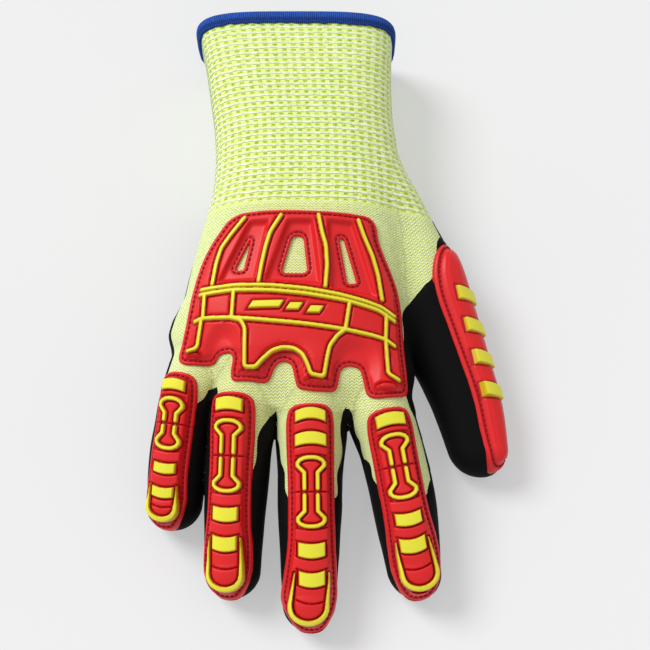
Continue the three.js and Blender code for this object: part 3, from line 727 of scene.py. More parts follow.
def knit_material():
    """Cut-resistant knit in a lime yarn with a paler core yarn, toned by the loops' height: painted
    shade between the loops, and the core yarn with a painted highlight where they stand proud.

    The own attribute "knit" holds mm across the wales, mm along the courses, and how far a place
    is into the cuff. Stitches are chevrons 1.5 mm wide and 1.15 mm high on the hand. In the cuff
    a darker dash lies every 4.2 mm in the gap between two white courses, which are 2.6 mm apart.
    """
    colours = bpy.context.scene.glove_colours
    material, tree, shader = begin("Lime knit", 0.85, Sheen_Weight=0.2, Sheen_Roughness=0.5)
    place = add(tree, "Attribute", attribute_name="knit", out=1)
    across = add(tree, "SeparateXYZ", place, out=0)
    along = add(tree, "SeparateXYZ", place, out=1)
    cuff = add(tree, "SeparateXYZ", place, out=2)

    wale = add(tree, "Math", across, WALE, operation="DIVIDE")
    wale = add(tree, "Math", wale, operation="FRACT")
    leg = add(tree, "Math", wale, 0.5, operation="SUBTRACT")
    leg = add(tree, "Math", leg, operation="ABSOLUTE")
    rise = add(tree, "Math", leg, CHEVRON_RISE, operation="MULTIPLY")
    course = add(tree, "Math", along, 1 / COURSE, rise, operation="MULTIPLY_ADD")
    turn = add(tree, "Math", course, 2 * math.pi, operation="MULTIPLY")
    loop = add(tree, "Math", add(tree, "Math", turn, operation="SINE"), 0.5, 0.5,
               operation="MULTIPLY_ADD")
    spine = add(tree, "MapRange", leg, 0.0, 0.12, 0.5, 1.0, interpolation_type="SMOOTHSTEP")
    edge = add(tree, "MapRange", leg, 0.5, 0.38, 0.6, 1.0, interpolation_type="SMOOTHSTEP")
    both = add(tree, "Math", spine, edge, operation="MULTIPLY")
    hand_loop = add(tree, "Math", loop, both, operation="MULTIPLY")
    hand_loop = add(tree, "Math", hand_loop, 1.2, 0.19, operation="MULTIPLY_ADD")

    pair = add(tree, "Math", across, DASH_SPACING, operation="DIVIDE")
    pair = add(tree, "Math", pair, operation="FRACT")
    pair = add(tree, "Math", pair, 0.5, operation="SUBTRACT")
    pair = add(tree, "Math", pair, operation="ABSOLUTE")
    pair = add(tree, "MapRange", pair, 0.34, 0.16, 0.0, 1.0, interpolation_type="SMOOTHSTEP")
    pitch = bpy.context.scene.glove_sizes.course_pitch / MM
    turns = 2 * math.pi / pitch
    shift = -turns * (COURSES_FROM + pitch / 2)
    small = add(tree, "Math", along, turns, shift, operation="MULTIPLY_ADD")
    small = add(tree, "Math", small, operation="COSINE")
    small = add(tree, "MapRange", small, 0.15, 0.75, 0.0, 1.0)
    cuff_gap = add(tree, "Math", pair, small, operation="MULTIPLY")
    cuff_loop = add(tree, "Math", cuff_gap, -0.42, 0.58, operation="MULTIPLY_ADD")

    shape = add(tree, "Mix", cuff, None, hand_loop, cuff_loop)
    noise = add(tree, "TexNoise", add(tree, "TexCoord", out=3), None, 900.0, 2.0, out=0)
    fibre = add(tree, "MapRange", noise, 0.3, 0.7, -0.14, 0.14)
    level = add(tree, "Math", shape, fibre, operation="ADD")
    lower = add(tree, "MapRange", level, 0.0, 0.4, 0.0, 1.0)
    upper = add(tree, "MapRange", level, 0.38, 0.85, 0.0, 1.0)
    # Painted light: the tone follows the loops' height, with painted shade between the loops and a
    # painted highlight where they stand proud.
    low = add(tree, "Mix", lower, *BLANKS, colours.knit_shade, colours.knit, out=2,
              data_type="RGBA")
    tone = add(tree, "Mix", upper, *BLANKS, low, colours.knit_core_and_highlight, out=2, data_type="RGBA")
    tree.links.new(tone, shader.inputs["Base Color"])
    tree.links.new(add(tree, "Bump", 0.5, 0.0006, None, level), shader.inputs["Normal"])
    return material


def mottled(name, roughness, scale, low, high, **constants):
    """A material whose colour wanders between two tones in spots 1 / scale metres across."""
    material, tree, shader = begin(name, roughness, **constants)
    noise = add(tree, "TexNoise", add(tree, "TexCoord", out=3), None, scale, 2.0, out=0)
    spots = add(tree, "MapRange", noise, 0.35, 0.65)
    tone = add(tree, "Mix", spots, *BLANKS, low, high, out=2, data_type="RGBA")
    tree.links.new(tone, shader.inputs["Base Color"])
    return material


def course_material():
    """White elastic yarn laid round the cuff, a little hairy: fibres catch light at its rim."""
    return mottled("White elastic yarn", 0.8, 700.0, linear("#D6E4A0"), linear("#FBFCF0"),
                   Sheen_Weight=0.2)


def hem_material():
    """Royal blue overlock yarn: fine threads across the band, with painted shade between them."""
    colours = bpy.context.scene.glove_colours
    material, tree, shader = begin("Blue overlock yarn", 0.8, Specular_IOR_Level=0.15)
    place = add(tree, "Attribute", attribute_name="thread", out=1)
    noise = add(tree, "TexNoise", add(tree, "TexCoord", out=3), None, 1100.0, 2.0, out=0)
    wander = add(tree, "MapRange", noise, 0.3, 0.7, -0.2, 0.2)
    level = add(tree, "Math", add(tree, "SeparateXYZ", place), wander, operation="ADD")
    level = add(tree, "MapRange", level, 0.1, 0.9)
    # Painted shade: the tone darkens between the threads.
    tone = add(tree, "Mix", level, *BLANKS, linear("#16307C"), colours.hem, out=2,
               data_type="RGBA")
    seam = add(tree, "SeparateXYZ", place, out=1)
    dark = add(tree, "Mix", seam, *BLANKS, tone, linear("#0A1540"), out=2, data_type="RGBA")
    tree.links.new(dark, shader.inputs["Base Color"])
    return material


def coating_material():
    """Matte black dipped foam: near black, with a fine open grain about 0.5 mm across."""
    colours = bpy.context.scene.glove_colours
    material, tree, shader = begin("Black foam coating", 0.8, Specular_IOR_Level=0.1,
                                   Base_Color=colours.coating)
    place = add(tree, "TexCoord", out=3)
    grain = add(tree, "TexNoise", place, None, 1900.0, 3.0, out=0)
    broad = add(tree, "TexNoise", place, None, 260.0, 2.0, out=0)
    level = add(tree, "Math", broad, 1.2, grain, operation="MULTIPLY_ADD")
    tree.links.new(add(tree, "Bump", 0.5, 0.0003, None, level), shader.inputs["Normal"])
    return material


def rubber_material(name, base, shade):
    """Soft moulded rubber in one bright colour. Deep places, which the own attribute "depth" marks,
    are painted a little darker: painted shade. A faint grain of 0.3 mm breaks up the shine."""
    material, tree, shader = begin(name, 0.45, Specular_IOR_Level=0.35)
    depth = add(tree, "SeparateXYZ", add(tree, "Attribute", attribute_name="depth", out=1))
    tone = add(tree, "Mix", depth, *BLANKS, base, shade, out=2, data_type="RGBA")
    tree.links.new(tone, shader.inputs["Base Color"])
    grain = add(tree, "TexNoise", add(tree, "TexCoord", out=3), None, 2600.0, 2.0, out=0)
    tree.links.new(add(tree, "Bump", 0.18, 0.0002, None, grain), shader.inputs["Normal"])
    return material


def guard_material():
    """Red rubber, with painted shade in the sewn groove, at the rim's edge and beside the ribs."""
    colours = bpy.context.scene.glove_colours
    return rubber_material("Red moulded rubber", colours.guard, linear("#9C0A18"))


def rib_material():
    """Yellow rubber, with painted shade at the foot of a rib."""
    colours = bpy.context.scene.glove_colours
    return rubber_material("Yellow moulded rubber", colours.rib, linear("#CFAE10"))


def thread_material():
    """Dark red sewing thread, sunk in the flanges: its twist shows as two tones."""
    colours = bpy.context.scene.glove_colours
    return mottled("Dark red thread", 0.75, 1500.0, linear("#7E101C"), colours.thread,
                   Specular_IOR_Level=0.1)


def floor_material():
    """A plain pale sheet with a hardly visible unevenness of tone. It glows: painted light from
    under it keeps the shadows between the fingers pale."""
    colours = bpy.context.scene.glove_colours
    # Painted light: the floor's emission lifts the shadows round the glove.
    return mottled("Pale studio paper", 0.9, 3.0, linear("#B1B1B2"), colours.floor,
                   Specular_IOR_Level=0.1, Emission_Color=linear("#FFFFFF"),
                   Emission_Strength=0.4)


MAKERS = {
    "knit": knit_material,
    "course": course_material,
    "hem": hem_material,
    "coating": coating_material,
    "guard": guard_material,
    "rib": rib_material,
    "thread": thread_material,
    "floor": floor_material,
}
_materials = {}


def material_of(name):
    """A material by its short name, made once."""
    if name not in _materials:
        _materials[name] = MAKERS[name]()
    return _materials[name]


# The knit


def tube_rings(tube):
    """Rings of points round a tube, from its tip to its root, as rows of a grid.

    A ring's points are the section's halves times sgn(cos)|cos|^(2/k) and the same of the sine.
    """
    rows = tube["rows"]
    turns = np.radians(np.arange(88, 0, -8))
    tip = rows[0, 0] - tube["nose"] * np.sin(turns)
    last = rows[-1, 0] + (3.0 if tube is HAND else 0.0)
    at = np.concatenate([tip, np.arange(rows[0, 0], last, 3.0), [last]])
    size = np.concatenate([np.cos(turns), np.ones(len(at) - len(tip))])
    size[-1] = 1.0
    around = 48
    turn = np.arange(around) * 2 * math.pi / around
    bend = 2 / squareness(tube, at)[:, None]
    bent = [np.sign(f(turn)) * np.abs(f(turn)) ** bend for f in (np.cos, np.sin)]
    left, right, low, high = np.moveaxis(through(rows[:, 0], rows[:, 1:5], at), -1, 0)
    x = ((left + right) / 2)[:, None] + ((right - left) / 2 * size)[:, None] * bent[0]
    z = ((low + high) / 2)[:, None] + ((high - low) / 2 * size)[:, None] * bent[1]
    y = np.broadcast_to(at[:, None], x.shape)
    if rows.shape[1] > 5:
        front = np.interp(at, rows[:, 0], rows[:, 5])[:, None]
        y = y + front * ARC_PER_MM * (x - ARC_MIDDLE_X) ** 2
    rings = np.stack([x, y, np.maximum(z, FLOOR_SKIN)], -1)
    ends = [np.broadcast_to(rings[row].mean(0), (1, around, 3)) for row in (0, -1)]
    return np.concatenate([ends[0], rings, ends[1]])


def united(parts, voxel):
    """The outer skin of several overlapping closed meshes, as points and faces with four sides."""
    offset = np.cumsum([0] + [len(points) for points, _ in parts[:-1]])
    points = np.vstack([points for points, _ in parts])
    faces = np.vstack([faces + start for (_, faces), start in zip(parts, offset)])
    mesh = bpy.data.meshes.new("seed")
    mesh.from_pydata(points * MM, (), faces)
    obj = bpy.data.objects.new("seed", mesh)
    bpy.context.scene.collection.objects.link(obj)
    modifier = obj.modifiers.new("Union", "REMESH")
    modifier.mode = "VOXEL"
    modifier.voxel_size = voxel * MM
    result = obj.evaluated_get(bpy.context.evaluated_depsgraph_get()).to_mesh()
    places = np.empty(len(result.vertices) * 3, np.float32)
    result.vertices.foreach_get("co", places)
    corners = np.empty(len(result.loops), np.int32)
    result.loops.foreach_get("vertex_index", corners)
    if len(corners) != 4 * len(result.polygons) or not len(corners):
        raise RuntimeError("the union of the tubes isn't made of faces with four sides")
    bpy.data.objects.remove(obj)
    bpy.data.meshes.remove(mesh)
    return places.reshape(-1, 3).astype(float) / MM, corners.reshape(-1, 4).astype(np.int64)


def relaxed(points, faces, rounds):
    """Points moved half way to the mean of their neighbours, and back onto the skin, each round."""
    starts = faces.ravel()
    ends = np.roll(faces, -1, axis=1).ravel()
    count = np.bincount(starts, minlength=len(points)) + np.bincount(ends, minlength=len(points))
    for _ in range(rounds):
        total = np.stack([
            np.bincount(starts, points[ends, axis], len(points))
            + np.bincount(ends, points[starts, axis], len(points))
            for axis in range(3)
        ], 1)
        points = onto_skin((points + total / count[:, None]) / 2, rounds=1)
    return points


def knit_places(points):
    """Where each point lies in the knit: mm across the wales, mm along, and 1 in the cuff.

    Across is the length round the mean section of the tube that the point is on, from the middle
    of its back. Wales are as many all along a tube, so they widen where it does.
    """
    x, y, z = points.T
    best = np.full(len(points), 1e3)
    across = np.zeros(len(points))
    for tube in (HAND, *DIGITS.values()):
        field = tube_field(tube, x, y, z)
        side, up, half_width, half_height, _, _ = tube_place(tube, x, y, z)
        angle = np.arctan2(side / half_width, up / half_height)
        turn = np.linspace(-math.pi, math.pi, 721)
        rows = tube["rows"]
        mean_width = (rows[:, 2] - rows[:, 1]).mean() / 2
        mean_height = (rows[:, 4] - rows[:, 3]).mean() / 2
        power = tube["square"]
        reach = (np.abs(np.sin(turn)) ** power + np.abs(np.cos(turn)) ** power) ** (-1 / power)
        section = np.stack([mean_width * np.sin(turn) * reach, mean_height * np.cos(turn) * reach])
        length = np.concatenate([[0], np.cumsum(np.hypot(*np.diff(section, axis=1)))])
        nearer = field < best
        across = np.where(nearer, np.interp(angle, turn, length - length[360]), across)
        best = np.minimum(best, field)
    return np.stack([across, y, smoothstep(y, 40.0, 44.0)], 1)


_skin = {}


def skin_mesh():
    """The bare knit's outer skin as points, faces and outward directions, worked out once."""
    if not _skin:
        parts = []
        for tube in (HAND, *DIGITS.values()):
            rings = tube_rings(tube)
            parts.append((rings.reshape(-1, 3), grid_faces(*rings.shape[:2], ring=True)))
        points, faces = united(parts, bpy.context.scene.glove_sizes.skin_step / MM)
        faces, used = compacted(faces[points[faces, 1].max(1) < RIM_Y + 1.2], len(points))
        points = relaxed(onto_skin(points[used], rounds=3), faces, 3)
        rim = points[:, 1] > RIM_Y - 0.4
        points[rim, 1] = np.minimum(points[rim, 1], RIM_Y)
        _skin.update(points=points, faces=faces, out=outward(points))
    return _skin["points"], _skin["faces"], _skin["out"]


class GLOVE_OT_knit_shell(bpy.types.Operator):
    """Add the knitted hand: one wall of even thickness, open at the cuff."""

    bl_idname = "glove.knit_shell"
    bl_label = "Knit shell"

    def execute(self, context):
        """The outer side is the skin, and the inner side is the skin less the wall."""
        points, faces, out = skin_mesh()
        wall = context.scene.glove_sizes.knit_wall / MM
        both, faces = closed_sheet(points, points - wall * out, faces)
        places = np.tile(knit_places(points), (2, 1))
        add_mesh("knit_shell", both, faces, material_of("knit"), ["knit_shell"],
                 values={"knit": places})
        return {"FINISHED"}


class GLOVE_OT_cuff_courses(bpy.types.Operator):
    """Add the white elastic courses that lie proud round the cuff."""

    bl_idname = "glove.cuff_courses"
    bl_label = "Cuff courses"

    def execute(self, context):
        """Each course is a flat ring of yarn: an oval carried round the skin at one y. It wanders
        0.16 mm along y in 31 waves, and swells and thins in 96 waves."""
        sizes = context.scene.glove_sizes
        pitch = sizes.course_pitch / MM
        half = sizes.course_width / MM / 2
        rows = np.arange(COURSES_FROM, COURSES_UP_TO, pitch)
        columns, around = 230, 6
        seat, rise = 0.12, 0.2
        turn = np.linspace(0, 2 * math.pi, columns, endpoint=False)
        wave = 0.16 * np.sin(31 * turn + rows[:, None] * 0.9)
        middle = through(HAND["rows"][:, 0], HAND["rows"][:, 1:5], rows)
        x = middle[:, :2].mean(1)[:, None] + 60 * np.cos(turn)
        z = middle[:, 2:].mean(1)[:, None] + 40 * np.sin(turn)
        points = np.stack([x, np.broadcast_to(rows[:, None] + wave, x.shape), z], -1)
        for _ in range(14):
            out = outward(points) * (1, 0, 1)
            out /= np.linalg.norm(out, axis=-1, keepdims=True)
            points = points - (glove_field(points)[..., None] - seat) * out
        thick = 0.85 + 0.15 * np.sin(96 * turn + rows[:, None] * 3)
        ring = np.arange(around) * 2 * math.pi / around
        along = np.cos(ring)[:, None] * (0, half, 0)
        proud = rise * np.sin(ring)[:, None] * out[:, :, None]
        tubes = points[:, :, None] + (along + proud) * thick[:, :, None, None]
        faces = grid_faces(columns, around, ring=True)
        last = grid_faces(2, around, ring=True)
        last = np.where(last < around, last + (columns - 1) * around, last - around)
        each = np.vstack([faces, last])
        starts = np.arange(len(rows)) * columns * around
        faces = (each[None] + starts[:, None, None]).reshape(-1, 4)
        add_mesh("cuff_courses", tubes.reshape(-1, 3), faces, material_of("course"), [])
        return {"FINISHED"}


class GLOVE_OT_hem(bpy.types.Operator):
    """Add the blue overlocked hem that folds round the rim of the cuff."""

    bl_idname = "glove.hem"
    bl_label = "Cuff hem"

    # The fold's profile: height out from the skin, and distance back from the rim.
    PROFILE = np.array([
        (0.25, 5.0), (1.15, 4.9), (1.45, 4.2), (1.5, 3.2), (1.55, 2.0), (1.5, 0.9), (1.2, 0.0),
        (0.6, -0.8), (-0.4, -1.15), (-1.3, -1.0), (-2.1, -0.2), (-2.4, 1.2), (-2.4, 3.6),
        (-2.1, 4.9), (-1.7, 5.0),
    ])
    THREAD_PITCH = 0.9
    THREAD_RISE = 0.12

    def execute(self, context):
        """Threads 0.9 mm apart stand 0.12 mm proud, and the outer edge wanders by 0.5 mm."""
        section = through(HAND["rows"][:, 0], HAND["rows"][:, 1:5], np.array([RIM_Y - 2.0]))[0]
        half_x, half_z = np.ptp(section[:2]) / 2, np.ptp(section[2:]) / 2
        fine = np.linspace(0, 2 * math.pi, 2881)
        power = HAND["rim_square"]
        bent = [np.sign(f(fine)) * np.abs(f(fine)) ** (2 / power) for f in (np.cos, np.sin)]
        length = np.concatenate([[0], np.cumsum(np.hypot(half_x * np.diff(bent[0]),
                                                         half_z * np.diff(bent[1])))])
        threads = int(round(length[-1] / self.THREAD_PITCH))
        columns = threads * 4
        at = np.arange(columns) * length[-1] / columns
        cos, sin = (np.interp(at, length, side) for side in bent)
        normal = np.stack([np.abs(cos) ** (power - 1) * np.sign(cos) / half_x,
                           np.abs(sin) ** (power - 1) * np.sign(sin) / half_z], 1)
        normal /= np.linalg.norm(normal, axis=1, keepdims=True)
        wave = np.cos(np.arange(columns) * math.pi / 2)
        random = np.random.default_rng(7).normal(0, 1, columns // 8)
        wander = np.interp(np.arange(columns), np.arange(len(random)) * 8, random)
        out = self.PROFILE[:, 0]
        back = self.PROFILE[:, 1]
        outer = smoothstep(out, 0.4, 1.0)
        jag = np.where(back > 3.9, 1.0, 0.0) * (out > 0)
        y = RIM_Y - back[:, None] + jag[:, None] * (0.3 * wander + 0.25 * wave)
        rows = through(HAND["rows"][:, 0], HAND["rows"][:, 1:5], np.minimum(RIM_Y - back, RIM_Y))
        size_x = np.ptp(rows[:, :2], axis=1) / 2
        size_z = np.ptp(rows[:, 2:], axis=1) / 2
        height = out[:, None] + self.THREAD_RISE * outer[:, None] * wave
        x = rows[:, :2].mean(1)[:, None] + size_x[:, None] * cos + height * normal[:, 0]
        z = rows[:, 2:].mean(1)[:, None] + size_z[:, None] * sin + height * normal[:, 1]
        points = np.stack([x, y, np.maximum(z, 0.05)], -1).reshape(-1, 3)
        faces = grid_faces(len(out), columns, ring=True)
        here = np.arange(columns)
        after = (here + 1) % columns
        last = (len(out) - 1) * columns
        closing = np.stack([here + last, after + last, after, here], 1)
        seam_row = ridge(back, 3.7, 0.7) * (out > 0)
        values = np.stack([np.broadcast_to(0.5 + 0.5 * wave, x.shape),
                           np.broadcast_to(seam_row[:, None], x.shape), 0 * x], -1)
        add_mesh("cuff_hem", points, np.vstack([faces, closing])[:, ::-1], material_of("hem"),
                 ["cuff_hem"], values={"thread": values.reshape(-1, 3)})
        return {"FINISHED"}


# The coating


def coated(points):
    """How far inside the dipped part a place is, in mm, and negative on bare knit."""
    x, y, z = points.T
    wobble = 0.5 * np.sin(x / 3.1 + y / 4.3) + 0.35 * np.sin(x / 1.7 - y / 2.3)
    low = np.interp(y, DIP_HEIGHT[:, 0], DIP_HEIGHT[:, 1]) - z
    dipped = np.minimum(low, DIP_END_Y - y)
    for outline in DIPPED_TIPS:
        dipped = np.maximum(dipped, loop_depth(x, y, outline))
    return dipped + wobble


class GLOVE_OT_coating(bpy.types.Operator):
    """Add the black dipped coating on the palm side, the fingertips and the thumb."""

    bl_idname = "glove.coating"
    bl_label = "Palm coating"

    def execute(self, context):
        """The skin grown by a height that falls from the coat's thickness to below the knit."""
        points, faces, out = skin_mesh()
        inside = coated(points)
        faces, used = compacted(faces[inside[faces].max(1) > -COAT_FADE], len(points))
        points, out, inside = points[used], out[used], inside[used]
        thick = context.scene.glove_sizes.coat / MM
        ripple = 0.06 * np.sin(points[:, 0] / 2.1) * np.sin(points[:, 1] / 2.7)
        height = np.interp(inside, [-COAT_FADE, 0.0, COAT_FULL], [-0.7, 0.05, thick])
        top = points + (height + ripple * (height > 0.3))[:, None] * out
        top[:, 2] = np.maximum(top[:, 2], 0.0)
        both, faces = closed_sheet(top, points - COAT_UNDER * out, faces)
        add_mesh("palm_coating", both, faces, material_of("coating"), ["palm_coating"])
        return {"FINISHED"}


# The back guard


def plate_bars(x, y):
    """The depth inside the plain slanted bars of the plate."""
    best = np.full(x.shape, -1e3)
    for middle_x, middle_y, length in PLATE_BARS:
        slanted = x - middle_x - PLATE_BAR_SLANT * (y - middle_y) / (PLATE_BAR_HEIGHT / 2)
        across = length / 2 - np.abs(slanted)
        along = PLATE_BAR_HEIGHT / 2 - np.abs(y - middle_y)
        best = np.maximum(best, np.minimum(across, along))
    return best


def back_ribs(x, y):
    """The depth inside all the raised ribs and bars of the back guard."""
    return np.maximum.reduce([
        joined_ribs(x, y, BACK_RIBS, BACK_RIB_HALF),
        joined_ribs(x, y, KNUCKLE_FRAME, FRAME_HALF),
        plate_bars(x, y),
    ])


def rounded_top(inside, foot, top, radius):
    """A height that rises from foot to top as a quarter circle of the radius."""
    t = np.clip(inside / radius, 0, 1)
    return foot + (top - foot) * np.sqrt(np.maximum(0, 1 - (1 - t) ** 2))


def flange_height(inside):
    """The flange: a round edge, and a groove in which the stitches lie."""
    edge = rounded_top(inside, EDGE_TOP, FLANGE_TOP, 0.8)
    return edge - 0.45 * ridge(inside, STITCH_INSET, 0.42)


def painted_rib_shade(inside):
    """Painted shade on the yellow, 0 to 1: at the foot of a rib."""
    return 1 - smoothstep(inside, 0.0, 0.5)


def add_moulded(name, points, faces, low, kind, nodes):
    """A moulded piece of red or yellow rubber, with the painted shade of its low places in the
    attribute "depth".
    """
    add_mesh(name, points, faces, material_of(kind), nodes, sharp=SHARP,
             values={"depth": np.stack([low, low, low], 1)})


def painted_red_shade(inside, grooves):
    """Painted shade on the red, 0 to 1: in the sewn groove, at the rim's edge and beside the ribs.
    """
    sewn = 0.75 * ridge(inside, STITCH_INSET, 0.4) + 0.35 * (inside < 0.05)
    return np.maximum(sewn, 0.9 * grooves)


class GLOVE_OT_back_guard(bpy.types.Operator):
    """Add the moulded guard on the back of the hand, its raised ribs and its stitches."""

    bl_idname = "glove.back_guard"
    bl_label = "Back guard"

    def execute(self, context):
        """Guard, ribs and threads are each one piece over the hand."""
        outline = rounded(BACK_OUTLINE, OUTLINE_ROUND)
        holes = [rounded(window["hole"], window["round"]) for window in WINDOWS]
        seats = [rounded(window["seat"], SEAT_ROUND) for window in WINDOWS]

        def depth(x, y):
            """Inside the outline and outside the three holes."""
            out_of_holes = [-loop_depth(x, y, hole) for hole in holes]
            return np.minimum.reduce([loop_depth(x, y, outline), *out_of_holes])

        def height(x, y, inside):
            """The flange, and on it the body times how far each hollow lets it rise."""
            rim = loop_depth(x, y, outline)
            body = smoothstep(rim, BACK_RIM - 0.4, BACK_RIM + 0.5)
            for hole, seat in zip(holes, seats):
                from_ring = np.maximum(0, -loop_depth(x, y, hole) - HOLE_FLANGE)
                to_seat = np.maximum(0, loop_depth(x, y, seat))
                slope = from_ring / np.maximum(from_ring + to_seat, 1e-3)
                wall = 1 - 0.88 * smoothstep(to_seat, 0.0, 2.2)
                body = body * np.where(to_seat > 0, slope * wall, 1)
            for middle_x, middle_y, across, along, step in SCOOPS:
                far = np.hypot((x - middle_x) / across, (y - middle_y) / along)
                steps = step * np.sin(far * 44) * (far < 0.9)
                body = body * (smoothstep(far, 0.42, 1.02) + steps)
            for middle_x, middle_y, across, along in LOBE_BEVELS:
                far = np.hypot((x - middle_x) / across, (y - middle_y) / along)
                body = body * (1 - 0.7 * ridge(far, 0.95, 0.22)) + 0.3 * (far < 0.8)
            groove = 1.1 * rib_grooves(back_ribs(x, y))
            flange = flange_height(inside)
            return flange + (BODY_TOP - FLANGE_TOP) * body - groove * body

        points, faces, inside, flat = relief(
            UPRIGHT, depth, BACK_BOX, BACK_STEP, height, GUARD_SEAT)
        # Painted shade of the red in its grooves, at its rim's edge and beside the ribs.
        low = painted_red_shade(inside, np.tile(rib_grooves(back_ribs(*flat)), 2))
        add_moulded("back_guard", points, faces, low, "guard", ["back_guard"])

        def rib_height(x, y, inside):
            """A quarter circle from the edge of a rib to its top."""
            return rounded_top(inside, *BACK_RIB_HEIGHTS, RIB_ROUND)

        points, faces, inside, _ = relief(
            UPRIGHT, back_ribs, BACK_BOX, BACK_RIB_STEP, rib_height, RIB_FOOT)
        names = [f"back_rib_{number}" for number in (1, 2, 3, 4)]
        names += ["knuckle_frame"] + [f"plate_bar_{number}" for number in (1, 2, 3)]
        # Painted shade at the foot of each rib.
        add_moulded("back_ribs", points, faces, painted_rib_shade(inside), "rib", names)

        sizes = context.scene.glove_sizes
        pitch, radius = sizes.stitch_pitch / MM, sizes.thread / MM / 2
        rows = [stitches(UPRIGHT, outline, STITCH_INSET, STITCH_HEIGHT, pitch, radius)]
        for hole in holes:
            rows.append(stitches(UPRIGHT, hole, -STITCH_INSET, STITCH_HEIGHT, pitch, radius))
        add_threads("back_stitches", rows)
        return {"FINISHED"}


def add_threads(name, rows):
    """Several rows of stitches as one piece."""
    starts = np.cumsum([0] + [len(points) for points, _ in rows[:-1]])
    points = np.vstack([points for points, _ in rows])
    faces = np.vstack([faces + start for (_, faces), start in zip(rows, starts)])
    add_mesh(name, points, faces, material_of("thread"), [])


# The guards on the digits


def bowed(guard, x, along):
    """The distance along a guard with its bars bowed: to the knuckle above the middle of the
    bone, and to the tip below it."""
    low, high = guard["bone"][:2]
    lean = np.clip((along - (low + high) / 2) / (high - low), -1, 1)
    return along + BOW * lean * (x / BOW_HALF) ** 2


def bone_routes(bone):
    """The two halves of a bone as routes: an arch, two corners and a narrow waist each."""
    low, high, bulb, waist = bone
    middle = (low + high) / 2
    routes = []
    for end, way in ((high, 1), (low, -1)):
        side = [
            (waist, middle + way * (BONE_CUT + RIB_HALF)), (waist, end - way * 7.0),
            (bulb, end - way * 4.3), (bulb, end - way * 3.1), (bulb * 0.84, end - way * 2.0),
            (bulb * 0.5, end - way * 1.15), (bulb * 0.2, end - way * 0.9),
        ]
        routes.append(side + [(-x, y) for x, y in reversed(side)])
    return routes


def tip_rib_route(tip_rib):
    """The rib round a fingertip as a route that leans to one side, and half its width there."""
    start, end, half, lean = tip_rib
    low = end + half
    side = [(half * 0.92, start), (half * 0.96, start - 4.5), (half, low + 1.5)]
    turns = np.radians(np.arange(0, 91, 15))
    bend = [(half * math.cos(turn), low - (half - 1.0) * math.sin(turn)) for turn in turns]
    right = side + bend
    widths = [0.25, 0.5, 0.85] + [0.95 + 0.2 * math.sin(turn) for turn in turns]
    route = np.array(right + [(-x, y) for x, y in reversed(right[:-1])])
    route[:, 0] += lean * smoothstep(route[:, 1], start, low)
    return route, widths + widths[-2::-1]


def digit_ribs(guard, x, along):
    """The depth inside the yellow bars, the bone and the tip rib of one finger guard."""
    if "bone" not in guard:
        return np.maximum.reduce([
            np.minimum(
                half - np.abs(x),
                THUMB_BAR_HALF - np.abs(along + THUMB_BAR_LEAN * x - (low + high) / 2),
            )
            for low, high, half in guard["bars"]
        ])
    level = bowed(guard, x, along)
    parts = [
        np.minimum(half - np.abs(x), (high - low) / 2 - np.abs(level - (low + high) / 2))
        for low, high, half in guard["bars"]
    ]
    parts += [route_depth(x, along, route, RIB_HALF) for route in bone_routes(guard["bone"])]
    route, widths = tip_rib_route(guard["tip_rib"])
    parts.append(route_depth(x, along, route, widths))
    return np.maximum.reduce(parts)


def lane(guard, x):
    """1 on the lane of a finger guard that its bars lie on, and 0 beside it."""
    half = guard["bars"][0][2]
    return 1 - smoothstep(np.abs(x), half + 0.1, half + 0.7)


def finger_grooves(guard, x, along):
    """How deep in a groove a place of a finger guard is, 0 to 1: beside the bars, round the bone
    and across its middle."""
    level = bowed(guard, x, along)
    low, high = guard["bone"][:2]
    last = guard["bars"][-1]
    in_bone = (level > low) & (level < high)
    tip = (guard["tip_rib"][1] + last[0]) / 2 + 1.2
    grooves = [low - BONE_GROOVE, high + BONE_GROOVE, tip]
    for bar in guard["bars"]:
        grooves += [bar[0] - BAR_GROOVE, bar[1] + BAR_GROOVE]
    cut = np.max([ridge(level, at, 0.36) for at in grooves], axis=0)
    cut = cut * np.where(in_bone, 1, lane(guard, x))
    cut = np.maximum(cut, ridge(level, (low + high) / 2, 0.3) * in_bone)
    return np.maximum(cut, rib_grooves(digit_ribs(guard, x, along)))


def rib_grooves(ribs):
    """The groove along the foot of a rib, 0 to 1."""
    return ridge(ribs, -0.4, 0.38) * (ribs < 0.1)


def finger_height(guard, x, along, inside):
    """The red part of a finger guard: flange, raised body, and blocks parted by grooves.

    Beside the bone the body is a raised panel, cut across at the middle of the bone.
    """
    body = smoothstep(inside, guard["rim"] - 0.3, guard["rim"] + 0.35)
    raised = FINGER_BODY - FLANGE_TOP + 0.5 * lane(guard, x)
    return flange_height(inside) + body * (raised - 1.35 * finger_grooves(guard, x, along))


def thumb_grooves(guard, x, along):
    """The groove round the bars of the thumb guard, 0 to 1."""
    return rib_grooves(digit_ribs(guard, x, along))


def thumb_height(guard, x, along, inside):
    """The thumb guard: a flange and a full round pillow with a shallow line along its side."""
    body = smoothstep(inside, guard["rim"] - 0.3, guard["rim"] + 0.5)
    pillow = 2.3 * np.sqrt(np.clip((inside - guard["rim"]) / 7.0, 0, 1))
    line = 0.3 * ridge(inside, guard["rim"] + 1.0, 0.4)
    groove = 0.6 * thumb_grooves(guard, x, along)
    return flange_height(inside) + body * (1.0 + pillow - groove) - line


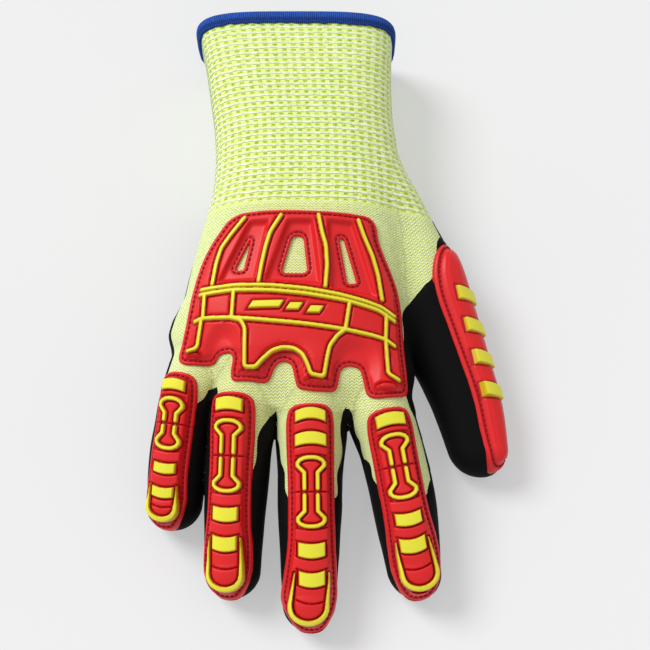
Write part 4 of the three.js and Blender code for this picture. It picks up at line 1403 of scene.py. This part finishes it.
def add_digit_guard(context, digit, red_height, red_grooves, names):
    """A guard on one digit: the red part, the yellow ribs and bars, and the stitches."""
    guard = GUARDS[digit]
    frame = frame_of(guard)
    flange = np.array(guard["flange"])
    right = flange[:, [2, 0]]
    left = flange[::-1, [1, 0]] * (-1, 1)
    loop = smooth_loop(np.vstack([right, left]), 220)
    widest = np.abs(loop[:, 0]).max() + 1
    box = (-widest, flange[0, 0] - 3, widest, flange[-1, 0] + 3)

    def depth(x, y):
        """Inside the guard's outline."""
        return loop_depth(x, y, loop)

    def height(x, y, inside):
        """The height of the red part, as the digit's own function gives it."""
        return red_height(guard, x, y, inside)

    points, faces, inside, flat = relief(frame, depth, box, DIGIT_STEP, height, GUARD_SEAT)
    # Painted shade of the red in its grooves, at its rim's edge and beside the ribs.
    low = painted_red_shade(inside, np.tile(red_grooves(guard, *flat), 2))
    add_moulded(f"{digit}_guard", points, faces, low, "guard", [f"{digit}_guard"])

    def rib_depth(x, y):
        """Inside a rib or a bar of this guard."""
        return digit_ribs(guard, x, y)

    def rib_height(x, y, inside):
        """A quarter circle from the edge of a rib to its top."""
        return rounded_top(inside, *DIGIT_RIB_HEIGHTS, RIB_ROUND)

    points, faces, inside, _ = relief(
        frame, rib_depth, box, DIGIT_RIB_STEP, rib_height, RIB_FOOT - 1.0)
    # Painted shade at the foot of each rib.
    add_moulded(f"{digit}_ribs", points, faces, painted_rib_shade(inside), "rib", names)

    sizes = context.scene.glove_sizes
    row = stitches(frame, loop, STITCH_INSET, STITCH_HEIGHT, sizes.stitch_pitch / MM,
                   sizes.thread / MM / 2)
    add_threads(f"{digit}_stitches", [row])


class GLOVE_OT_finger_guards(bpy.types.Operator):
    """Add the four finger guards with their bars, bones, tip ribs and stitches."""

    bl_idname = "glove.finger_guards"
    bl_label = "Finger guards"

    def execute(self, context):
        """The four are alike and differ in their tables."""
        for digit in ("little", "ring", "middle", "index"):
            parts = [*GUARDS[digit]["names"], "bone_upper", "bone_lower", "tip_rib"]
            nodes = [f"{digit}_{part}" for part in parts]
            add_digit_guard(context, digit, finger_height, finger_grooves, nodes)
        return {"FINISHED"}


class GLOVE_OT_thumb_guard(bpy.types.Operator):
    """Add the thumb guard with its plain bars and its stitches."""

    bl_idname = "glove.thumb_guard"
    bl_label = "Thumb guard"

    def execute(self, context):
        """One pillow along the outer side of the thumb."""
        names = [f"thumb_{part}" for part in GUARDS["thumb"]["names"]]
        add_digit_guard(context, "thumb", thumb_height, thumb_grooves, names)
        return {"FINISHED"}


# The stage


def aimed(obj, place, target):
    """An object put at a place in mm, looking at a target."""
    obj.location = Vector(place) * MM
    way = (Vector(target) - Vector(place)).normalized()
    obj.rotation_euler = way.to_track_quat("-Z", "Y").to_euler()
    bpy.context.scene.collection.objects.link(obj)
    return obj


class GLOVE_OT_stage(bpy.types.Operator):
    """Add the pale floor, the soft studio light and the camera."""

    bl_idname = "glove.stage"
    bl_label = "Stage"

    def execute(self, context):
        """The camera stands 700 mm off, 72 degrees above the floor."""
        scene = context.scene
        sizes = scene.glove_sizes
        square = FLOOR_HALF * np.array([(-1, -1, 0), (1, -1, 0), (1, 1, 0), (-1, 1, 0)])
        mesh = bpy.data.meshes.new("floor")
        mesh.from_pydata(square * MM, (), [(0, 1, 2, 3)])
        mesh.materials.append(material_of("floor"))
        floor = bpy.data.objects.new("floor", mesh)
        scene.collection.objects.link(floor)

        rise = sizes.camera_rise
        reach = sizes.camera_reach / MM
        back, up = reach * math.cos(rise), reach * math.sin(rise)
        place = (TARGET[0], TARGET[1] - back, TARGET[2] + up)
        camera = bpy.data.cameras.new("camera")
        camera.lens = LENS
        camera.sensor_width = 36.0
        scene.camera = aimed(bpy.data.objects.new("camera", camera), place, TARGET)

        for name, (spot, spread, strength) in SUNS.items():
            light = bpy.data.lights.new(name, "SUN")
            light.angle = math.radians(spread)
            light.energy = strength
            aimed(bpy.data.objects.new(name, light), spot, (0, 0, 20))
        world = bpy.data.worlds.new("studio")
        world.use_nodes = True
        sky = world.node_tree.nodes["Background"]
        sky.inputs["Color"].default_value = linear("#FFFFFF")
        sky.inputs["Strength"].default_value = SKY_STRENGTH
        scene.world = world
        scene.view_settings.view_transform = "Standard"
        return {"FINISHED"}


# The add-on


class GLOVE_PG_sizes(bpy.types.PropertyGroup):
    """Sizes that the operators build with."""

    knit_wall: FloatProperty(
        name="Knit wall", description="Thickness of the knit", default=1.5 * MM, unit="LENGTH")
    coat: FloatProperty(
        name="Coating", description="Thickness of the dipped coating", default=1.0 * MM,
        unit="LENGTH")
    skin_step: FloatProperty(
        name="Skin step", description="Side of a face of the knit and the coating",
        default=1.5 * MM, unit="LENGTH")
    course_pitch: FloatProperty(
        name="Course pitch", description="Distance between the white courses of the cuff",
        default=2.6 * MM, unit="LENGTH")
    course_width: FloatProperty(
        name="Course width", description="Width of a white course", default=1.25 * MM,
        unit="LENGTH")
    stitch_pitch: FloatProperty(
        name="Stitch pitch", description="Distance from one stitch to the next",
        default=2.1 * MM, unit="LENGTH")
    thread: FloatProperty(
        name="Thread", description="Thickness of the sewing thread", default=0.8 * MM,
        unit="LENGTH")
    camera_rise: FloatProperty(
        name="Camera rise", description="Angle of the camera above the floor",
        default=math.radians(72), subtype="ANGLE")
    camera_reach: FloatProperty(
        name="Camera reach", description="Distance from the camera to the glove",
        default=700 * MM, unit="LENGTH")


def colour(name, description, code):
    """A colour of the sidebar, with its default as hex sRGB."""
    return FloatVectorProperty(name=name, description=description, default=linear(code), size=4,
                               min=0.0, max=1.0, subtype="COLOR")


class GLOVE_PG_colours(bpy.types.PropertyGroup):
    """Colours that the materials are made with."""

    knit: colour("Knit", "Lime yarn of the knit", "#D4F03E")
    # Painted shade of the lime yarn between the loops.
    knit_shade: colour("Knit shade", "Lime yarn between the loops", "#84A61C")
    # The pale core yarn together with a painted highlight on the tops of the loops.
    knit_core_and_highlight: colour("Knit core", "Pale core yarn where the loops stand proud", "#FBFFD6")
    hem: colour("Hem", "Overlock yarn of the hem", "#2E60BE")
    coating: colour("Coating", "Dipped palm coating", "#0C0C0D")
    guard: colour("Guard", "Red rubber of the guards", "#E02023")
    rib: colour("Rib", "Yellow rubber of the ribs and bars", "#EDE63A")
    thread: colour("Thread", "Sewing thread of the flanges", "#B01C2C")
    floor: colour("Floor", "Paper that the glove lies on", "#B3B3B4")


OPERATORS = (
    GLOVE_OT_knit_shell,
    GLOVE_OT_cuff_courses,
    GLOVE_OT_hem,
    GLOVE_OT_coating,
    GLOVE_OT_back_guard,
    GLOVE_OT_finger_guards,
    GLOVE_OT_thumb_guard,
    GLOVE_OT_stage,
)


class GLOVE_PT_panel(bpy.types.Panel):
    """Sizes, colours and steps of the glove in the sidebar of the 3D view."""

    bl_idname = "GLOVE_PT_panel"
    bl_label = "Impact Glove"
    bl_space_type = "VIEW_3D"
    bl_region_type = "UI"
    bl_category = "Glove"

    def draw(self, context):
        """A field for each size and colour, then a button for each step."""
        for name in GLOVE_PG_sizes.__annotations__:
            self.layout.prop(context.scene.glove_sizes, name)
        for name in GLOVE_PG_colours.__annotations__:
            self.layout.prop(context.scene.glove_colours, name)
        for operator in OPERATORS:
            self.layout.operator(operator.bl_idname)


CLASSES = (GLOVE_PG_sizes, GLOVE_PG_colours, *OPERATORS, GLOVE_PT_panel)


def register():
    """Registers the classes and puts the sizes and colours on the scene."""
    for kind in CLASSES:
        bpy.utils.register_class(kind)
    bpy.types.Scene.glove_sizes = PointerProperty(type=GLOVE_PG_sizes)
    bpy.types.Scene.glove_colours = PointerProperty(type=GLOVE_PG_colours)


def unregister():
    """Takes away what register() put in."""
    del bpy.types.Scene.glove_colours
    del bpy.types.Scene.glove_sizes
    for kind in reversed(CLASSES):
        bpy.utils.unregister_class(kind)


def corners(bounds):
    """Two corners as plain lists."""
    return [list(corner) for corner in bounds]


def main():
    """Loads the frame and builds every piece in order."""
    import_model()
    register()
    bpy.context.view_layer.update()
    bpy.ops.glove.knit_shell()
    bpy.ops.glove.cuff_courses()
    bpy.ops.glove.hem()
    bpy.ops.glove.coating()
    bpy.ops.glove.back_guard()
    bpy.ops.glove.finger_guards()
    bpy.ops.glove.thumb_guard()
    bpy.ops.glove.stage()


if __name__ == "__main__":
    main()
